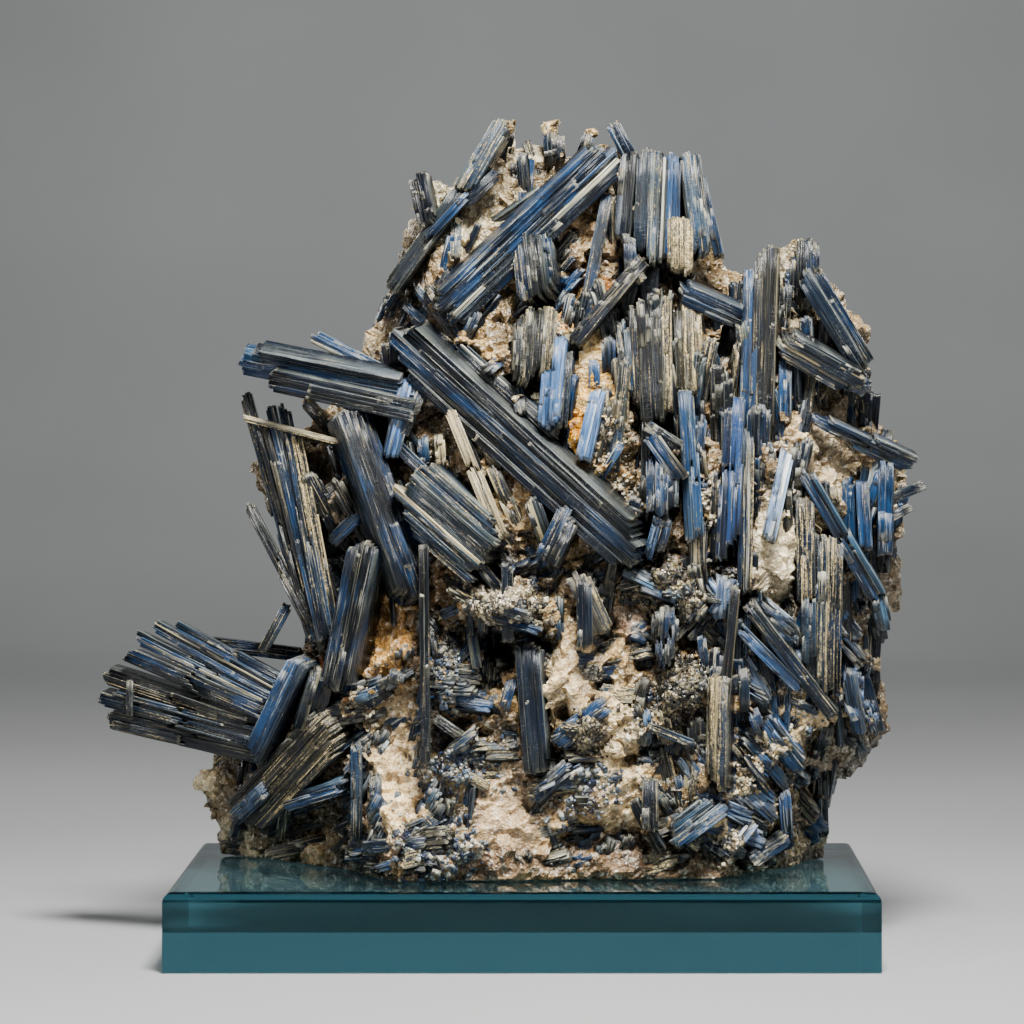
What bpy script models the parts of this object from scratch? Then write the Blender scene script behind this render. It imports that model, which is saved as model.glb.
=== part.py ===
# Kyanite blade cluster on a quartz matrix, resting on a clear cast block.
#
# Frame: origin at the centre of the block's underside, X along the block's
# length, +Z up, -Y toward the display side.  Sizes below are millimetres.
#
# The cluster is laid out on a front elevation sheet: a vertical drawing plane
# standing at the block's front face (Y = -100).  A sheet point is pushed to its
# depth along the line from the drawing's station point, so that the elevation
# keeps its shape whatever the depth of each crystal.
import bpy
import bmesh
import math
import random
import numpy as np
from mathutils import Vector
from mathutils.bvhtree import BVHTree
from mathutils.geometry import delaunay_2d_cdt

MM = 0.001

# ---- display block ---------------------------------------------------------
BASE_LENGTH = 360.0
BASE_DEPTH = 200.0
BASE_HEIGHT = 40.0
BASE_TOP_RADIUS = 5.0      # rounding of the block's top edges
BASE_TOP_STEPS = 5         # flats in that rounding

# ---- elevation sheet -------------------------------------------------------
SHEET_Y = -100.0          # the sheet stands at the block's front face
STATION_X = 24.0          # station point of the drawing
STATION_Z = 309.0
STATION_RANGE = 1905.0    # from station point to sheet

# ---- fits ------------------------------------------------------------------
CLEARANCE = 0.3           # gap kept between any two pieces
SEAT_Z = BASE_HEIGHT + CLEARANCE

# ---- quartz matrix ---------------------------------------------------------
MATRIX_CELL = 30.0        # facet size of the rock surface
MATRIX_RIM = 26.0         # how fast the rim rounds over
MATRIX_BACK = 66.0        # depth of the back at mid height
MATRIX_FACET = 5.0        # relief of the rock's facets

# how a blade is set in the rock
SEAT_DEPTH = 3.0          # how far its back reaches past the rock's face
SEAT_GROWTH = 1.5         # most that its thickness may grow for that

# elevation outline of the rock (sheet x, sheet z), clockwise from the top left
MATRIX_OUTLINE = [
    (-30, 397), (-17, 409), (-8, 414), (6, 418), (27, 410), (40, 414), (59, 407),
    (83, 407), (89, 395), (96, 364), (106, 354), (118, 352), (129, 365), (139, 366),
    (149, 361), (156, 346), (167, 333), (175, 321), (172, 311), (178, 289),
    (184, 270), (193, 256), (192, 236), (190, 206), (193, 190), (184, 173),
    (178, 160), (180, 141), (186, 122), (173, 110), (166, 99), (156, 89),
    (153, 64), (150, 40), (140, 12), (40, 6), (-60, 6), (-120, 12), (-146, 44),
    (-154, 68), (-161, 84), (-165, 93), (-162, 103), (-152, 109), (-143, 116),
    (-125, 140), (-112, 156), (-107, 176), (-113, 205), (-126, 232), (-136, 250),
    (-130, 262), (-112, 271), (-97, 286), (-84, 305), (-78, 321), (-69, 343),
    (-61, 366), (-55, 386), (-49, 400)]

# plan profile of the front where the rock meets the block: (x, y)
FOOT_LINE = [(-170, 70), (-150, 55), (-130, 24), (-106, 2), (-76, -45), (-60, -76),
             (-41, -78), (-30, -58), (99, -56), (119, -26), (146, -10), (156, 20),
             (200, 50)]

# bumps and hollows of the rock face: (x, z, radius x, radius z, rise toward -Y)
RELIEF = [
    (-41, 382, 17, 22, 11), (-45, 356, 10, 12, 7), (-16, 372, 17, 16, 6),
    (3, 411, 9, 8, 5), (34, 365, 16, 34, -7), (134, 350, 7, 18, 8),
    (147, 316, 17, 15, 6), (156, 250, 17, 42, 7), (125, 209, 12, 22, 9),
    (97, 282, 9, 14, -5), (5, 283, 6, 9, 6), (-101, 246, 11, 20, -5),
    (-67, 168, 12, 27, 9), (-98, 99, 13, 10, -5), (-63, 101, 9, 34, 8),
    (-6, 76, 15, 25, 7), (24, 144, 15, 17, 6), (49, 107, 10, 28, 9),
    (86, 160, 9, 15, 7), (-9, 163, 13, 17, -15), (94, 321, 6, 10, -12),
    (164, 150, 6, 7, -9), (118, 141, 6, 5, -8), (42, 144, 4, 4, -7),
    (-92, 211, 7, 4, -9), (-100, 76, 13, 8, -11), (60, 222, 8, 9, 5),
    (80, 90, 16, 12, 6), (138, 110, 12, 16, 5), (-32, 205, 10, 12, 5)]

# ---- kyanite blades --------------------------------------------------------
# One row per blade: sheet x and z of its two ends, width, thickness, how far
# each end stands off the rock face (- = toward the display side), roll about
# its own axis in degrees, number of parallel lamellae it is split into.
# A width given as a pair runs from the first end to the second.
BLADES = {
    "left_horizontal_blade": [
        (-141, 309, -46, 290, 14, 17, -24, -5, 30, 2),
        (-127, 298, -50, 281, 11, 17, -25, -7, 10, 2),
        (-105, 319, -66, 299, 7, 10, -8, -2, 0, 1)],
    "centre_diagonal_blade": [
        (-63.5, 321.5, 64, 206.5, 24, 18, -13, -13, 18, 3),
        (-32.5, 314, 19, 268, 7, 14, -3, -2, 0, 1)],
    "top_diagonal_blade": [
        (46.5, 412, -41, 329, 21, 17, -9, -8, -16, 2),
        (6, 368, -38.5, 325, 8, 14, -7, -4, 0, 1)],
    "top_left_long_blade": [
        (-8.5, 425.5, -30, 389, 10, 14, -2, -6, 12, 2),
        (-28.5, 392, -66, 340.5, 9, 12, -5, -3, 8, 2),
        (-26, 390, -48.5, 366, 4, 10, -9, -6, 0, 1),
        (-11, 401, -30, 383, 6, 10, -8, -6, 0, 1)],
    "block_edge_blade": [(-52, 401, -46, 372, 10, 9, -7, -6, 20, 1)],
    "top_right_columns": [
        (54, 411, 50, 365, 8, 12, -3, -5, 10, 1),
        (62, 412, 60, 359, 9, 13, -5, -6, 0, 1),
        (69, 412.5, 66.5, 353, 9, 14, -6, -9, 0, 2),
        (75, 411.5, 74, 356, 9, 13, -4, -6, 0, 1),
        (83, 410.5, 89, 357, 10, 15, -4, -5, -14, 2),
        (89, 400, 99, 357, 4.5, 12, -1, -3, 0, 1),
        (79, 380, 79, 346.5, 13, 11, -11, -9, 0, 2)],
    "upright_block": [
        (5.5, 371, 10, 332, 20, 17, -9, -10, 12, 2),
        (7, 336, 4, 291.5, 21, 18, -11, -11, -6, 3)],
    "leaning_splinter": [(43, 390, 30, 324, 6, 8, -6, -5, 0, 1)],
    "crossing_dark_blade": [
        (62.5, 358, 25.5, 314, 7, 9, -15, -12, 10, 1),
        (53.5, 370, 54.5, 350, 6, 8, -13, -14, 0, 1),
        (61, 352, 53, 346, 10, 7, -16, -15, 0, 1)],
    "right_lying_blade": [
        (78, 342, 112, 327, 11, 11, -12, -8, 16, 2),
        (109, 330, 111.5, 311.5, 7, 9, -8, -4, 0, 1)],
    "central_columns": [
        (50, 324, 53, 286.5, 7, 10, -5, -5, 0, 1),
        (58.5, 336.5, 61, 274, 11, 12, -6, -5, 0, 1),
        (69, 341, 70, 275, 12, 14, -7, -7, 6, 2),
        (82, 338, 84, 286.5, 14, 14, -6, -5, -6, 3),
        (62, 280, 61.5, 236.5, 4, 9, -4, -2, 0, 1)],
    "tall_right_column": [
        (123, 365, 120, 270.5, 12, 15, -8, -6, 10, 2),
        (115, 352.5, 112, 271.5, 8, 12, -4, -3, 0, 1)],
    "right_top_blade": [
        (143, 368.5, 143, 340, 11, 12, -7, -6, 0, 1),
        (143, 343, 143, 331, 7, 9, -5, -4, 0, 1)],
    "right_dark_diagonals": [
        (140, 351.5, 171.5, 300, 8, 12, -12, -9, 12, 1),
        (146, 351.5, 174, 304, 6, 11, -8, -6, 0, 1)],
    "right_cross_blade": [
        (128, 317.5, 170, 294, 15, 13, -13, -14, 14, 2),
        (163, 297, 174, 291, 9, 10, -16, -15, 0, 1)],
    "right_low_diagonal": [(145, 278, 197, 253.5, (4, 13), 9, -7, -9, 20, 2)],
    "right_blue_blade": [
        (182, 256.5, 181.5, 207.5, 8, 10, -10, -9, 0, 2),
        (201.5, 244.5, 182, 236, 5, 9, -8, -8, 0, 1),
        (196, 234, 183, 227, 4, 8, -9, -8, 0, 1)],
    "long_right_splinter": [
        (140.5, 252.5, 179, 186.5, (6, 10), 8, -14, -11, 8, 2),
        (177.5, 191, 181.5, 171.5, 8, 7, -10, -8, 0, 1)],
    "right_vertical_ribbons": [
        (151.5, 221.5, 150, 136.5, 18, 13, -7, -7, 0, 4),
        (143, 190, 143, 154, 7, 12, -6, -6, 0, 1),
        (141, 241, 142, 184, 9, 12, -6, -6, 0, 2)],
    "slanting_blade": [(133, 262, 123, 215.5, 7, 9, -8, -9, 0, 1)],
    "pointed_blade_short": [(81.5, 293, 86.5, 214, (7, 10), 10, -9, -9, 0, 2)],
    "pointed_blade_pair": [
        (107.5, 290.5, 103, 204, (9, 12), 13, -10, -9, 10, 2),
        (112.5, 273.5, 111, 189, 7, 12, -7, -7, 0, 1)],
    "layered_block": [
        (60.5, 274.5, 80, 262.5, 6, 12, -14, -14, 0, 1),
        (63, 270, 81, 245.5, 8, 12, -12, -13, 0, 1),
        (70, 262, 70, 226.5, 16, 15, -9, -9, 0, 3),
        (71.5, 231, 65, 205, 10, 13, -8, -7, 0, 1)],
    "bright_blue_upright": [
        (18, 319, 14, 270.5, 11, 9, -12, -12, 14, 2),
        (23, 312, 20, 271.5, 5, 9, -9, -9, 0, 1)],
    "bright_blue_second": [(39, 292.5, 30.5, 255.5, 8, 8, -9, -10, 10, 1)],
    "pale_wedge": [(-36.5, 282.5, -10, 216.5, (5, 8), 8, -8, -9, 0, 1)],
    "upright_left_blade": [
        (-56, 297.5, -66, 256.5, 9, 9, -9, -9, 0, 2),
        (-48.5, 294, -60, 268, 5, 8, -7, -8, 0, 1)],
    "steep_left_blade": [(-89.5, 287.5, -53.5, 185.5, 17.5, 15, -14, -12, -24, 2)],
    "olive_bundle": [
        (-61, 247.5, -8.5, 201.5, 35, 17, -15, -13, 6, 5),
        (-63.5, 265, -11, 214, 6, 14, -5, -5, 0, 1)],
    "left_upright_fan": [
        (-138.5, 290.5, -103, 165, (5, 9), 9, -6, -2, 0, 1),
        (-130, 275, -101, 160, (5, 10), 10, -9, -3, 6, 1),
        (-126, 285, -98, 164, (4, 8), 10, -6, -2, 0, 1),
        (-119.5, 286.5, -97, 165, (5, 9), 10, -8, -2, -8, 1),
        (-113, 271.5, -94, 168, (5, 8), 10, -5, -1, 0, 1),
        (-137, 235, -104, 172, (4, 8), 8, -8, -3, 0, 1),
        (-139.5, 277.5, -90, 265, 3, 4, -13, -9, 0, 1)],
    "long_left_diagonal": [(-75, 219, -91, 140.5, 16, 15, -13, -10, 24, 2)],
    "front_left_diagonal": [(-107.5, 159, -133, 105, 10, 13, -11, -16, 24, 1)],
    "lower_mid_dark": [(-98.5, 154, -109, 119, 13, 12, -8, -9, -10, 2)],
    "lower_left_fan": [
        (-174.5, 174.5, -116, 143.5, (5, 8), 10, -6, -2, 0, 1),
        (-184, 174.5, -119, 138.5, (5, 9), 12, -10, -3, 0, 1),
        (-193.5, 169, -122, 134, (6, 9), 13, -14, -4, 0, 1),
        (-197, 160, -126, 129, (7, 10), 14, -17, -5, 0, 2),
        (-208, 150, -128, 124, (8, 10), 15, -19, -5, 12, 2),
        (-210, 140, -124, 117, (8, 11), 16, -20, -5, 12, 2),
        (-206, 128, -126, 110, (9, 11), 15, -18, -5, 12, 2),
        (-196, 148, -196, 128, 3, 4, -27, -27, 0, 1),
        (-117, 184, -130, 160, 5, 8, -2, -4, 0, 1)],
    "lower_left_striated": [
        (-90, 127.5, -139, 75, 25, 17, -12, -14, 12, 4),
        (-128, 92, -143, 78, 8, 10, -20, -20, 0, 1)],
    "low_left_shelf": [
        (-84, 96, -117, 85.5, 8, 12, -9, -12, 0, 1),
        (-82.5, 116.5, -82.5, 66, 5.5, 9, -8, -7, 0, 1),
        (-117, 87, -120, 68, 6, 9, -8, -6, 0, 1)],
    "crust_stick": [(-49, 215.5, -48, 104, 4.5, 7, -21, -13, 0, 1)],
    "centre_blue_stub": [(26.5, 234, 11.5, 202.5, 12.5, 11, -8, -8, 10, 2)],
    "black_prism": [
        (31, 197, 31.5, 161.5, 7.5, 9, -10, -9, 0, 1),
        (26.5, 201.5, 41.5, 169, 11, 8, -6, -6, 0, 2)],
    "dark_tooth": [(71.5, 185.5, 71.5, 150.5, (19, 5), 12, -9, -7, 0, 2)],
    "white_blue_burst": [
        (93, 196, 106, 177, 5, 8, -10, -9, 0, 1), (107, 197, 94, 178, 5, 8, -11, -10, 0, 1),
        (100, 200, 99, 176, 5, 8, -13, -11, 0, 1), (92, 187, 108, 186, 5, 7, -12, -10, 0, 1)],
    "thin_stick": [(107, 194, 100.5, 126.5, 4.5, 5, -17, -9, 0, 1)],
    "lower_right_diagonals": [
        (112.5, 185.5, 156.5, 128.5, 7, 10, -9, -8, 10, 1),
        (117.5, 183, 137, 167, 14, 8, -7, -6, 0, 2)],
    "lower_right_pale_blade": [(108, 173, 139, 141.5, 6, 8, -8, -7, 0, 1)],
    "olive_vertical_prism": [(99, 150.5, 98, 89, 11, 13, -9, -8, 18, 2)],
    "blue_slab": [
        (73, 66, 101, 87.5, 14, 9, -8, -9, 0, 2)],
    "dark_column": [(4, 166.5, 9, 99, 12, 13, -7, -7, 12, 2)],
    "low_right_shards": [
        (132, 69, 111, 55, 9, 10, -6, -7, 0, 1),
        (131, 92, 133, 62, 6, 9, -5, -6, 0, 1)],
    # the side away from the display side
    "back_long_blade": [(-70, 330, 60, 190, 19, 16, 0, 0, 14, 3)],
    "back_cross_blade": [(110, 320, 20, 130, 16, 15, 0, 0, -12, 2)],
    "back_low_blade": [(-110, 150, 30, 95, 18, 15, 0, 0, 10, 3)],
    "back_upright_blade": [(120, 240, 135, 90, 15, 14, 0, 0, -8, 2)],
    "back_left_blade": [(-100, 275, -60, 170, 13, 13, 0, 0, 8, 2)],
}
BACK_GROUPS = ("back_long_blade", "back_cross_blade", "back_low_blade",
               "back_upright_blade", "back_left_blade")

# small blades and stubs grown into the rock and joined with it
SMALL_BLADES = [
    (-58.5, 334, -36, 314, 4, 7, -3, -2, 0, 1),
    (-53, 343, -31, 314, 4, 7, -3, -2, 0, 1),
    (-47.5, 344.5, -27, 312, 5, 7, -4, -3, 0, 1),
    (-7, 426, -11, 404, 9, 9, 2, -1, 0, 1),
    (15.5, 426, 17, 402, 11, 10, 2, -2, 0, 1),
    (3, 408, 1.5, 384, 7, 9, -4, -4, 0, 1),
    (-32.5, 382, -33.5, 356, 5, 8, -8, -6, 0, 1),
    (45, 425.5, 57, 402, 7, 9, 0, 0, 0, 1),
    (34, 421, 29, 406, 6, 9, 2, 0, 0, 1),
    (170, 247, 172, 211, 6.5, 9, -6, -6, 0, 1),
    (121.5, 266, 126.5, 247.5, 6, 8, -4, -4, 0, 1),
    (131.5, 308, 131.5, 276.5, 6, 8, -4, -4, 0, 1),
    (155.5, 244, 157, 232.5, 4, 7, -4, -4, 0, 1),
    (49, 264, 36, 243, 4, 7, -4, -4, 0, 1),
    (43, 236, 60, 229, 4, 7, -4, -4, 0, 1),
    (-4, 311, -18, 301, 6, 8, -4, -4, 0, 1),
    (-3, 297, -1, 280.5, 6, 8, -7, -6, 0, 1),
    (-50, 268, -48.5, 251.5, 5.5, 8, -4, -5, 0, 1),
    (-41.5, 270, -40, 250, 5, 8, -4, -5, 0, 1),
    (-109.5, 287.5, -96, 272, 7, 8, -2, -3, 0, 1),
    (-157.5, 165, -108.5, 159, 7, 8, 4, 0, 0, 1),
    (-73, 100, -73, 80, 6, 8, -4, -4, 0, 1),
    (-7, 196, -6, 186, 8, 9, -6, -6, 0, 1),
    (4, 239, 13, 214, 8, 9, -5, -5, 0, 1),
    (110.5, 154, 111.5, 130.5, 5, 8, -4, -4, 0, 1),
    (114, 133.5, 119.5, 119.5, 6, 8, -4, -4, 0, 1),
    (64, 99, 64, 70, 8, 10, -6, -6, 0, 1),
    (62.5, 123.5, 87, 114, 4, 7, -6, -5, 0, 1),
    (-38.5, 152.5, -36, 136.5, 5, 8, -4, -4, 0, 1),
    (-4.5, 148, -9.5, 130.5, 5, 8, -4, -4, 0, 1),
    (-41, 178, -28, 185, 5, 8, -4, -4, 0, 1),
    (161.5, 141.5, 169, 125.5, 8, 9, -6, -6, 0, 1),
    (176, 160, 177, 141.5, 5, 8, -4, -4, 0, 1),
    (150, 99, 151, 67.5, 5, 8, -4, -4, 0, 1),
    (154, 124, 147, 107, 6, 8, -5, -5, 0, 1),
    (116.5, 76, 105, 61, 6, 8, -4, -4, 0, 1),
    (-58.5, 164, -59, 156, 9, 9, -6, -6, 0, 1),
    (-62.5, 152, -63, 144, 9, 9, -6, -6, 0, 1),
    (-71, 141.5, -84, 136.5, 5, 8, -4, -4, 0, 1),
    (-80, 230, -96, 215, 7, 9, -4, -3, 0, 1),
    (-86, 208, -98, 205.5, 4, 8, -4, -3, 0, 1),
    (8, 91, 32, 103, 6, 8, -4, -4, 0, 1),
    (-44, 128, -30, 118, 5, 8, -5, -5, 0, 1),
    (-38, 110, -22, 122, 5, 8, -4, -4, 0, 1),
    (-30, 100, -16, 92, 5, 8, -4, -4, 0, 1),
    (-26, 176, -22, 150, 5, 8, -3, -3, 0, 1),
    (-14, 185, 2, 178, 5, 8, -4, -4, 0, 1)]


# ---- helpers ---------------------------------------------------------------
def interp(x, table):
    return float(np.interp(x, [p[0] for p in table], [p[1] for p in table]))


def ease(v):
    v = min(1.0, max(0.0, v))
    return v * v * (3.0 - 2.0 * v)


def place(x, z, y):
    """Sheet point (x, z) pushed to depth y along its drawing line."""
    k = (STATION_RANGE + y - SHEET_Y) / STATION_RANGE
    return Vector((STATION_X + (x - STATION_X) * k, y,
                   STATION_Z + (z - STATION_Z) * k))


def front_y(x, z):
    """General depth of the rock's display side."""
    foot = interp(x, FOOT_LINE)
    mid = -60.0 + 48.0 * ((x - 30.0) / 165.0) ** 2
    top = -22.0 + 14.0 * ((x - 40.0) / 120.0) ** 2
    low = foot + (mid - foot) * ease((z - 40.0) / 95.0)
    return low + (top - low) * ease((z - 215.0) / 215.0)


def relief(x, z):
    rise = 0.0
    for cx, cz, rx, rz, amount in RELIEF:
        q = ((x - cx) / rx) ** 2 + ((z - cz) / rz) ** 2
        if q < 4.0:
            rise += amount * math.exp(-q * 1.2)
    return rise


def back_y(x, z):
    """General depth of the rock's far side."""
    return (MATRIX_BACK - 26.0 * ((x - 20.0) / 170.0) ** 2
            - 34.0 * ease((z - 190.0) / 230.0))


def seed_of(*values):
    return int(abs(sum((i + 3) * 7919 * round(v * 4) for i, v in enumerate(values)))) % 999983


# ---- materials -------------------------------------------------------------
def material(name, colour, rough, transmission=0.0, ior=1.5):
    m = bpy.data.materials.new(name)
    m.use_nodes = True
    b = m.node_tree.nodes["Principled BSDF"]
    b.inputs["Base Color"].default_value = (*colour, 1.0)
    b.inputs["Roughness"].default_value = rough
    b.inputs["Transmission Weight"].default_value = transmission
    b.inputs["IOR"].default_value = ior
    m.diffuse_color = (*colour, 1.0)
    return m


def add_object(name, bm, mat):
    me = bpy.data.meshes.new(name)
    bm.to_mesh(me)
    bm.free()
    me.materials.append(mat)
    ob = bpy.data.objects.new(name, me)
    bpy.context.scene.collection.objects.link(ob)
    return ob


def boolean(target, tool, operation):
    mod = target.modifiers.new("cut", "BOOLEAN")
    mod.operation = operation
    mod.solver = "EXACT"
    mod.object = tool
    deps = bpy.context.evaluated_depsgraph_get()
    result = bpy.data.meshes.new_from_object(target.evaluated_get(deps))
    target.modifiers.remove(mod)
    if not result.polygons:
        print("no result", target.name, tool.name, operation)
        bpy.data.meshes.remove(result)
        return
    old = target.data
    target.data = result
    bpy.data.meshes.remove(old)


def drop(ob):
    me = ob.data
    bpy.data.objects.remove(ob)
    bpy.data.meshes.remove(me)


def shells(bm):
    left = set(bm.faces)
    out = []
    while left:
        stack = [left.pop()]
        shell = list(stack)
        while stack:
            f = stack.pop()
            for e in f.edges:
                for g in e.link_faces:
                    if g in left:
                        left.remove(g)
                        stack.append(g)
                        shell.append(g)
        out.append(shell)
    return sorted(out, key=len, reverse=True)


def clean(ob, keep_largest=False):
    bm = bmesh.new()
    bm.from_mesh(ob.data)
    bmesh.ops.remove_doubles(bm, verts=bm.verts, dist=1e-6)
    bmesh.ops.dissolve_degenerate(bm, edges=bm.edges, dist=1e-6)
    parts = shells(bm)
    if len(parts) > 1:
        print("SHELLS", ob.name, [len(p) for p in parts])
        if keep_largest:
            for p in parts[1:]:
                bmesh.ops.delete(bm, geom=p, context="FACES")
            loose = [v for v in bm.verts if not v.link_faces]
            bmesh.ops.delete(bm, geom=loose, context="VERTS")
    bmesh.ops.dissolve_limit(bm, angle_limit=math.radians(0.05), verts=bm.verts,
                             edges=bm.edges)
    bmesh.ops.triangulate(bm, faces=bm.faces)
    bmesh.ops.recalc_face_normals(bm, faces=bm.faces)
    wires = [e for e in bm.edges if not e.link_faces]
    bmesh.ops.delete(bm, geom=wires, context="EDGES")
    bad = [e for e in bm.edges if len(e.link_faces) != 2]
    if bad:
        print("OPEN", ob.name, len(bad))
    bm.to_mesh(ob.data)
    bm.free()


# ---- blades ----------------------------------------------------------------
def blade_mesh(a, b, side, face, wa, wb, thick, count, rng, grow):
    """One kyanite blade: flat-faced parallel lamellae with a groove between
    each pair, drawn along the blade and broken off obliquely at both ends.
    A grown blade is the plain outline of the same blade, without grooves."""
    length = (b - a).length
    d = (b - a) / length
    edge_l, edge_r = rng.uniform(-0.15, 0.1), rng.uniform(-0.1, 0.15)
    cuts = [(rng.uniform(-0.5, 0.5), rng.uniform(-0.45, 0.45)) for _ in range(2)]
    ring = [(-0.5, edge_l)]
    lamellae = 1 if grow else count
    width = 1.0 / lamellae
    for i in range(lamellae):
        high = 0.5 if lamellae == 1 else rng.uniform(0.36, 0.5)
        tilt = 0.0 if lamellae == 1 else rng.uniform(-0.05, 0.0)
        left = -0.5 + i * width
        pad = 0.1 / count
        ring.append((left + pad, high))
        ring.append((left + width - pad, high + tilt))
        if i < lamellae - 1:
            ring.append((left + width, min(ring[-1][1], ring[-2][1]) - 0.13))
    ring += [(0.5, edge_r), (0.40, -0.5), (-0.40, -0.5)]
    bm = bmesh.new()
    loops = []
    t = thick + 2 * grow
    for end, w in ((0, wa + 2 * grow), (1, wb + 2 * grow)):
        k, l = cuts[end]
        out = -2.0 * grow if end == 0 else length + 2.0 * grow
        loops.append([bm.verts.new((a + d * (out + k * px * w * 0.7 + l * pz * t * 0.7)
                                    + side * (px * w) + face * (pz * t)) * MM)
                      for px, pz in ring])
    n = len(ring)
    for i in range(n):
        j = (i + 1) % n
        bm.faces.new((loops[0][i], loops[0][j], loops[1][j], loops[1][i]))
    bm.faces.new(list(reversed(loops[0])))
    bm.faces.new(loops[1])
    if wa != wb:
        bmesh.ops.triangulate(bm, faces=[f for f in bm.faces if len(f.verts) == 4])
    bmesh.ops.recalc_face_normals(bm, faces=bm.faces)
    if bm.calc_volume(signed=True) < 0:
        bmesh.ops.reverse_faces(bm, faces=bm.faces[:])
    return bm


def seated(row):
    """Thickness and end offsets of a blade: one that lies in front of the rock
    at both ends is made deeper, with its face kept, so that it grows out of it."""
    xa, za, xb, zb, w, t, da, db, roll, count = row
    if inside(xa, za, MATRIX_OUTLINE) and inside(xb, zb, MATRIX_OUTLINE):
        deep = 2.0 * (max(-da, -db) + SEAT_DEPTH) - t
        deep = max(0.0, min(deep, (SEAT_GROWTH - 1.0) * t))
        t, da, db = t + deep, da + deep / 2, db + deep / 2
    return t, da, db


def blade(row, grow, mode="front", skin=None):
    xa, za, xb, zb, w, t, da, db, roll, count = row
    wa, wb = w if isinstance(w, tuple) else (w, w)
    rng = random.Random(seed_of(xa, za, xb, zb))
    view = Vector((0, -1, 0))
    if mode == "back":
        ya, yb = back_y(xa, za) - 2.0, back_y(xb, zb) - 2.0
        view = Vector((0, 1, 0))
    elif mode == "small":
        ya, yb = skin_y(skin, xa, za), skin_y(skin, xb, zb)
        if ya is None and yb is None:
            ya = yb = front_y(xb, zb) * 0.45 + back_y(xb, zb) * 0.55
            print("off the rock", row)
        ya, yb = (yb if ya is None else ya), (ya if yb is None else yb)
        ya, yb = ya + da * 0.4, yb + db * 0.4
    else:
        t, da, db = seated(row)
        ya = front_y(xa, za) - relief(xa, za) * 0.6 + da
        yb = front_y(xb, zb) - relief(xb, zb) * 0.6 + db
    a, b = place(xa, za, ya), place(xb, zb, yb)
    d = (b - a).normalized()
    face = (view - d * view.dot(d)).normalized()
    side = d.cross(face)
    c, s = math.cos(math.radians(roll)), math.sin(math.radians(roll))
    face, side = face * c + side * s, side * c - face * s
    return blade_mesh(a, b, side, face, wa, wb, t, count, rng, grow)


def bridge(p, q, grow):
    """Short crystal that ties two neighbouring blades of a group together."""
    d = (q - p).normalized()
    face = Vector((0, -1, 0)) - d * Vector((0, -1, 0)).dot(d)
    face = face.normalized() if face.length > 1e-3 else Vector((1, 0, 0))
    rng = random.Random(seed_of(p.x, p.z, q.x, q.z))
    return blade_mesh(p - d * 2.5, q + d * 2.5, d.cross(face), face, 5.0, 5.0, 5.5, 1, rng, grow)


def grown_group(name, rows, mat, mode):
    """All blades of a group joined in one solid, and the same solid grown by
    the clearance, which is used to seat it in its neighbours."""
    body, reach = None, None
    for row in rows:
        piece = add_object("strand", blade(row, 0.0, mode), mat)
        grown = add_object("strand", blade(row, CLEARANCE, mode), mat)
        if body is None:
            body, reach = piece, grown
            continue
        boolean(body, piece, "UNION")
        boolean(reach, grown, "UNION")
        drop(piece)
        drop(grown)
    for _ in range(6):
        bm = bmesh.new()
        bm.from_mesh(body.data)
        parts = [list({v for f in p for v in f.verts}) for p in shells(bm)]
        parts = [[v.co.copy() for v in p] for p in parts]
        bm.free()
        if len(parts) < 2:
            break
        centres = [sum(p, Vector()) / len(p) for p in parts]
        best = min((((v - w).length, v, w, i) for i, p in enumerate(parts[1:], 1)
                    for v in p for w in parts[0]), key=lambda item: item[0])
        _, v, w, i = best
        p = (v + (centres[i] - v) * min(1.0, 0.004 / max(1e-6, (centres[i] - v).length))) / MM
        q = (w + (centres[0] - w) * min(1.0, 0.004 / max(1e-6, (centres[0] - w).length))) / MM
        for target, grow in ((body, 0.0), (reach, CLEARANCE)):
            link = add_object("link", bridge(p, q, grow), mat)
            boolean(target, link, "UNION")
            drop(link)
    clean(body)
    clean(reach)
    body.name, reach.name = name, name + "_reach"
    return body, reach


# ---- rock ------------------------------------------------------------------
def resample(points, step):
    out = []
    for (x0, z0), (x1, z1) in zip(points, points[1:] + points[:1]):
        n = max(1, round(math.hypot(x1 - x0, z1 - z0) / step))
        for i in range(n):
            out.append((x0 + (x1 - x0) * i / n, z0 + (z1 - z0) * i / n))
    return out


def rim_distance(x, z, loop):
    best = 1e9
    for (x0, z0), (x1, z1) in zip(loop, loop[1:] + loop[:1]):
        dx, dz = x1 - x0, z1 - z0
        u = max(0.0, min(1.0, ((x - x0) * dx + (z - z0) * dz) / (dx * dx + dz * dz)))
        best = min(best, math.hypot(x - x0 - u * dx, z - z0 - u * dz))
    return best


def inside(x, z, loop):
    hit = False
    for (x0, z0), (x1, z1) in zip(loop, loop[1:] + loop[:1]):
        if (z0 > z) != (z1 > z) and x < x0 + (z - z0) * (x1 - x0) / (z1 - z0):
            hit = not hit
    return hit


def facet(x, z, salt):
    """Relief of flat cleavage faces, one tilted plane per cell."""
    best, value = 1e9, 0.0
    size = 30.0
    ix, iz = math.floor(x / size), math.floor(z / size)
    for i in range(ix - 1, ix + 2):
        for j in range(iz - 1, iz + 2):
            r = random.Random((i * 73856093) ^ (j * 19349663) ^ salt)
            cx, cz = (i + r.random()) * size, (j + r.random()) * size
            q = (x - cx) ** 2 + (z - cz) ** 2
            gx, gz, h = r.uniform(-0.3, 0.3), r.uniform(-0.3, 0.3), r.uniform(-1, 1)
            if q < best:
                best = q
                value = gx * (x - cx) + gz * (z - cz) + h * MATRIX_FACET
    return value


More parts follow.
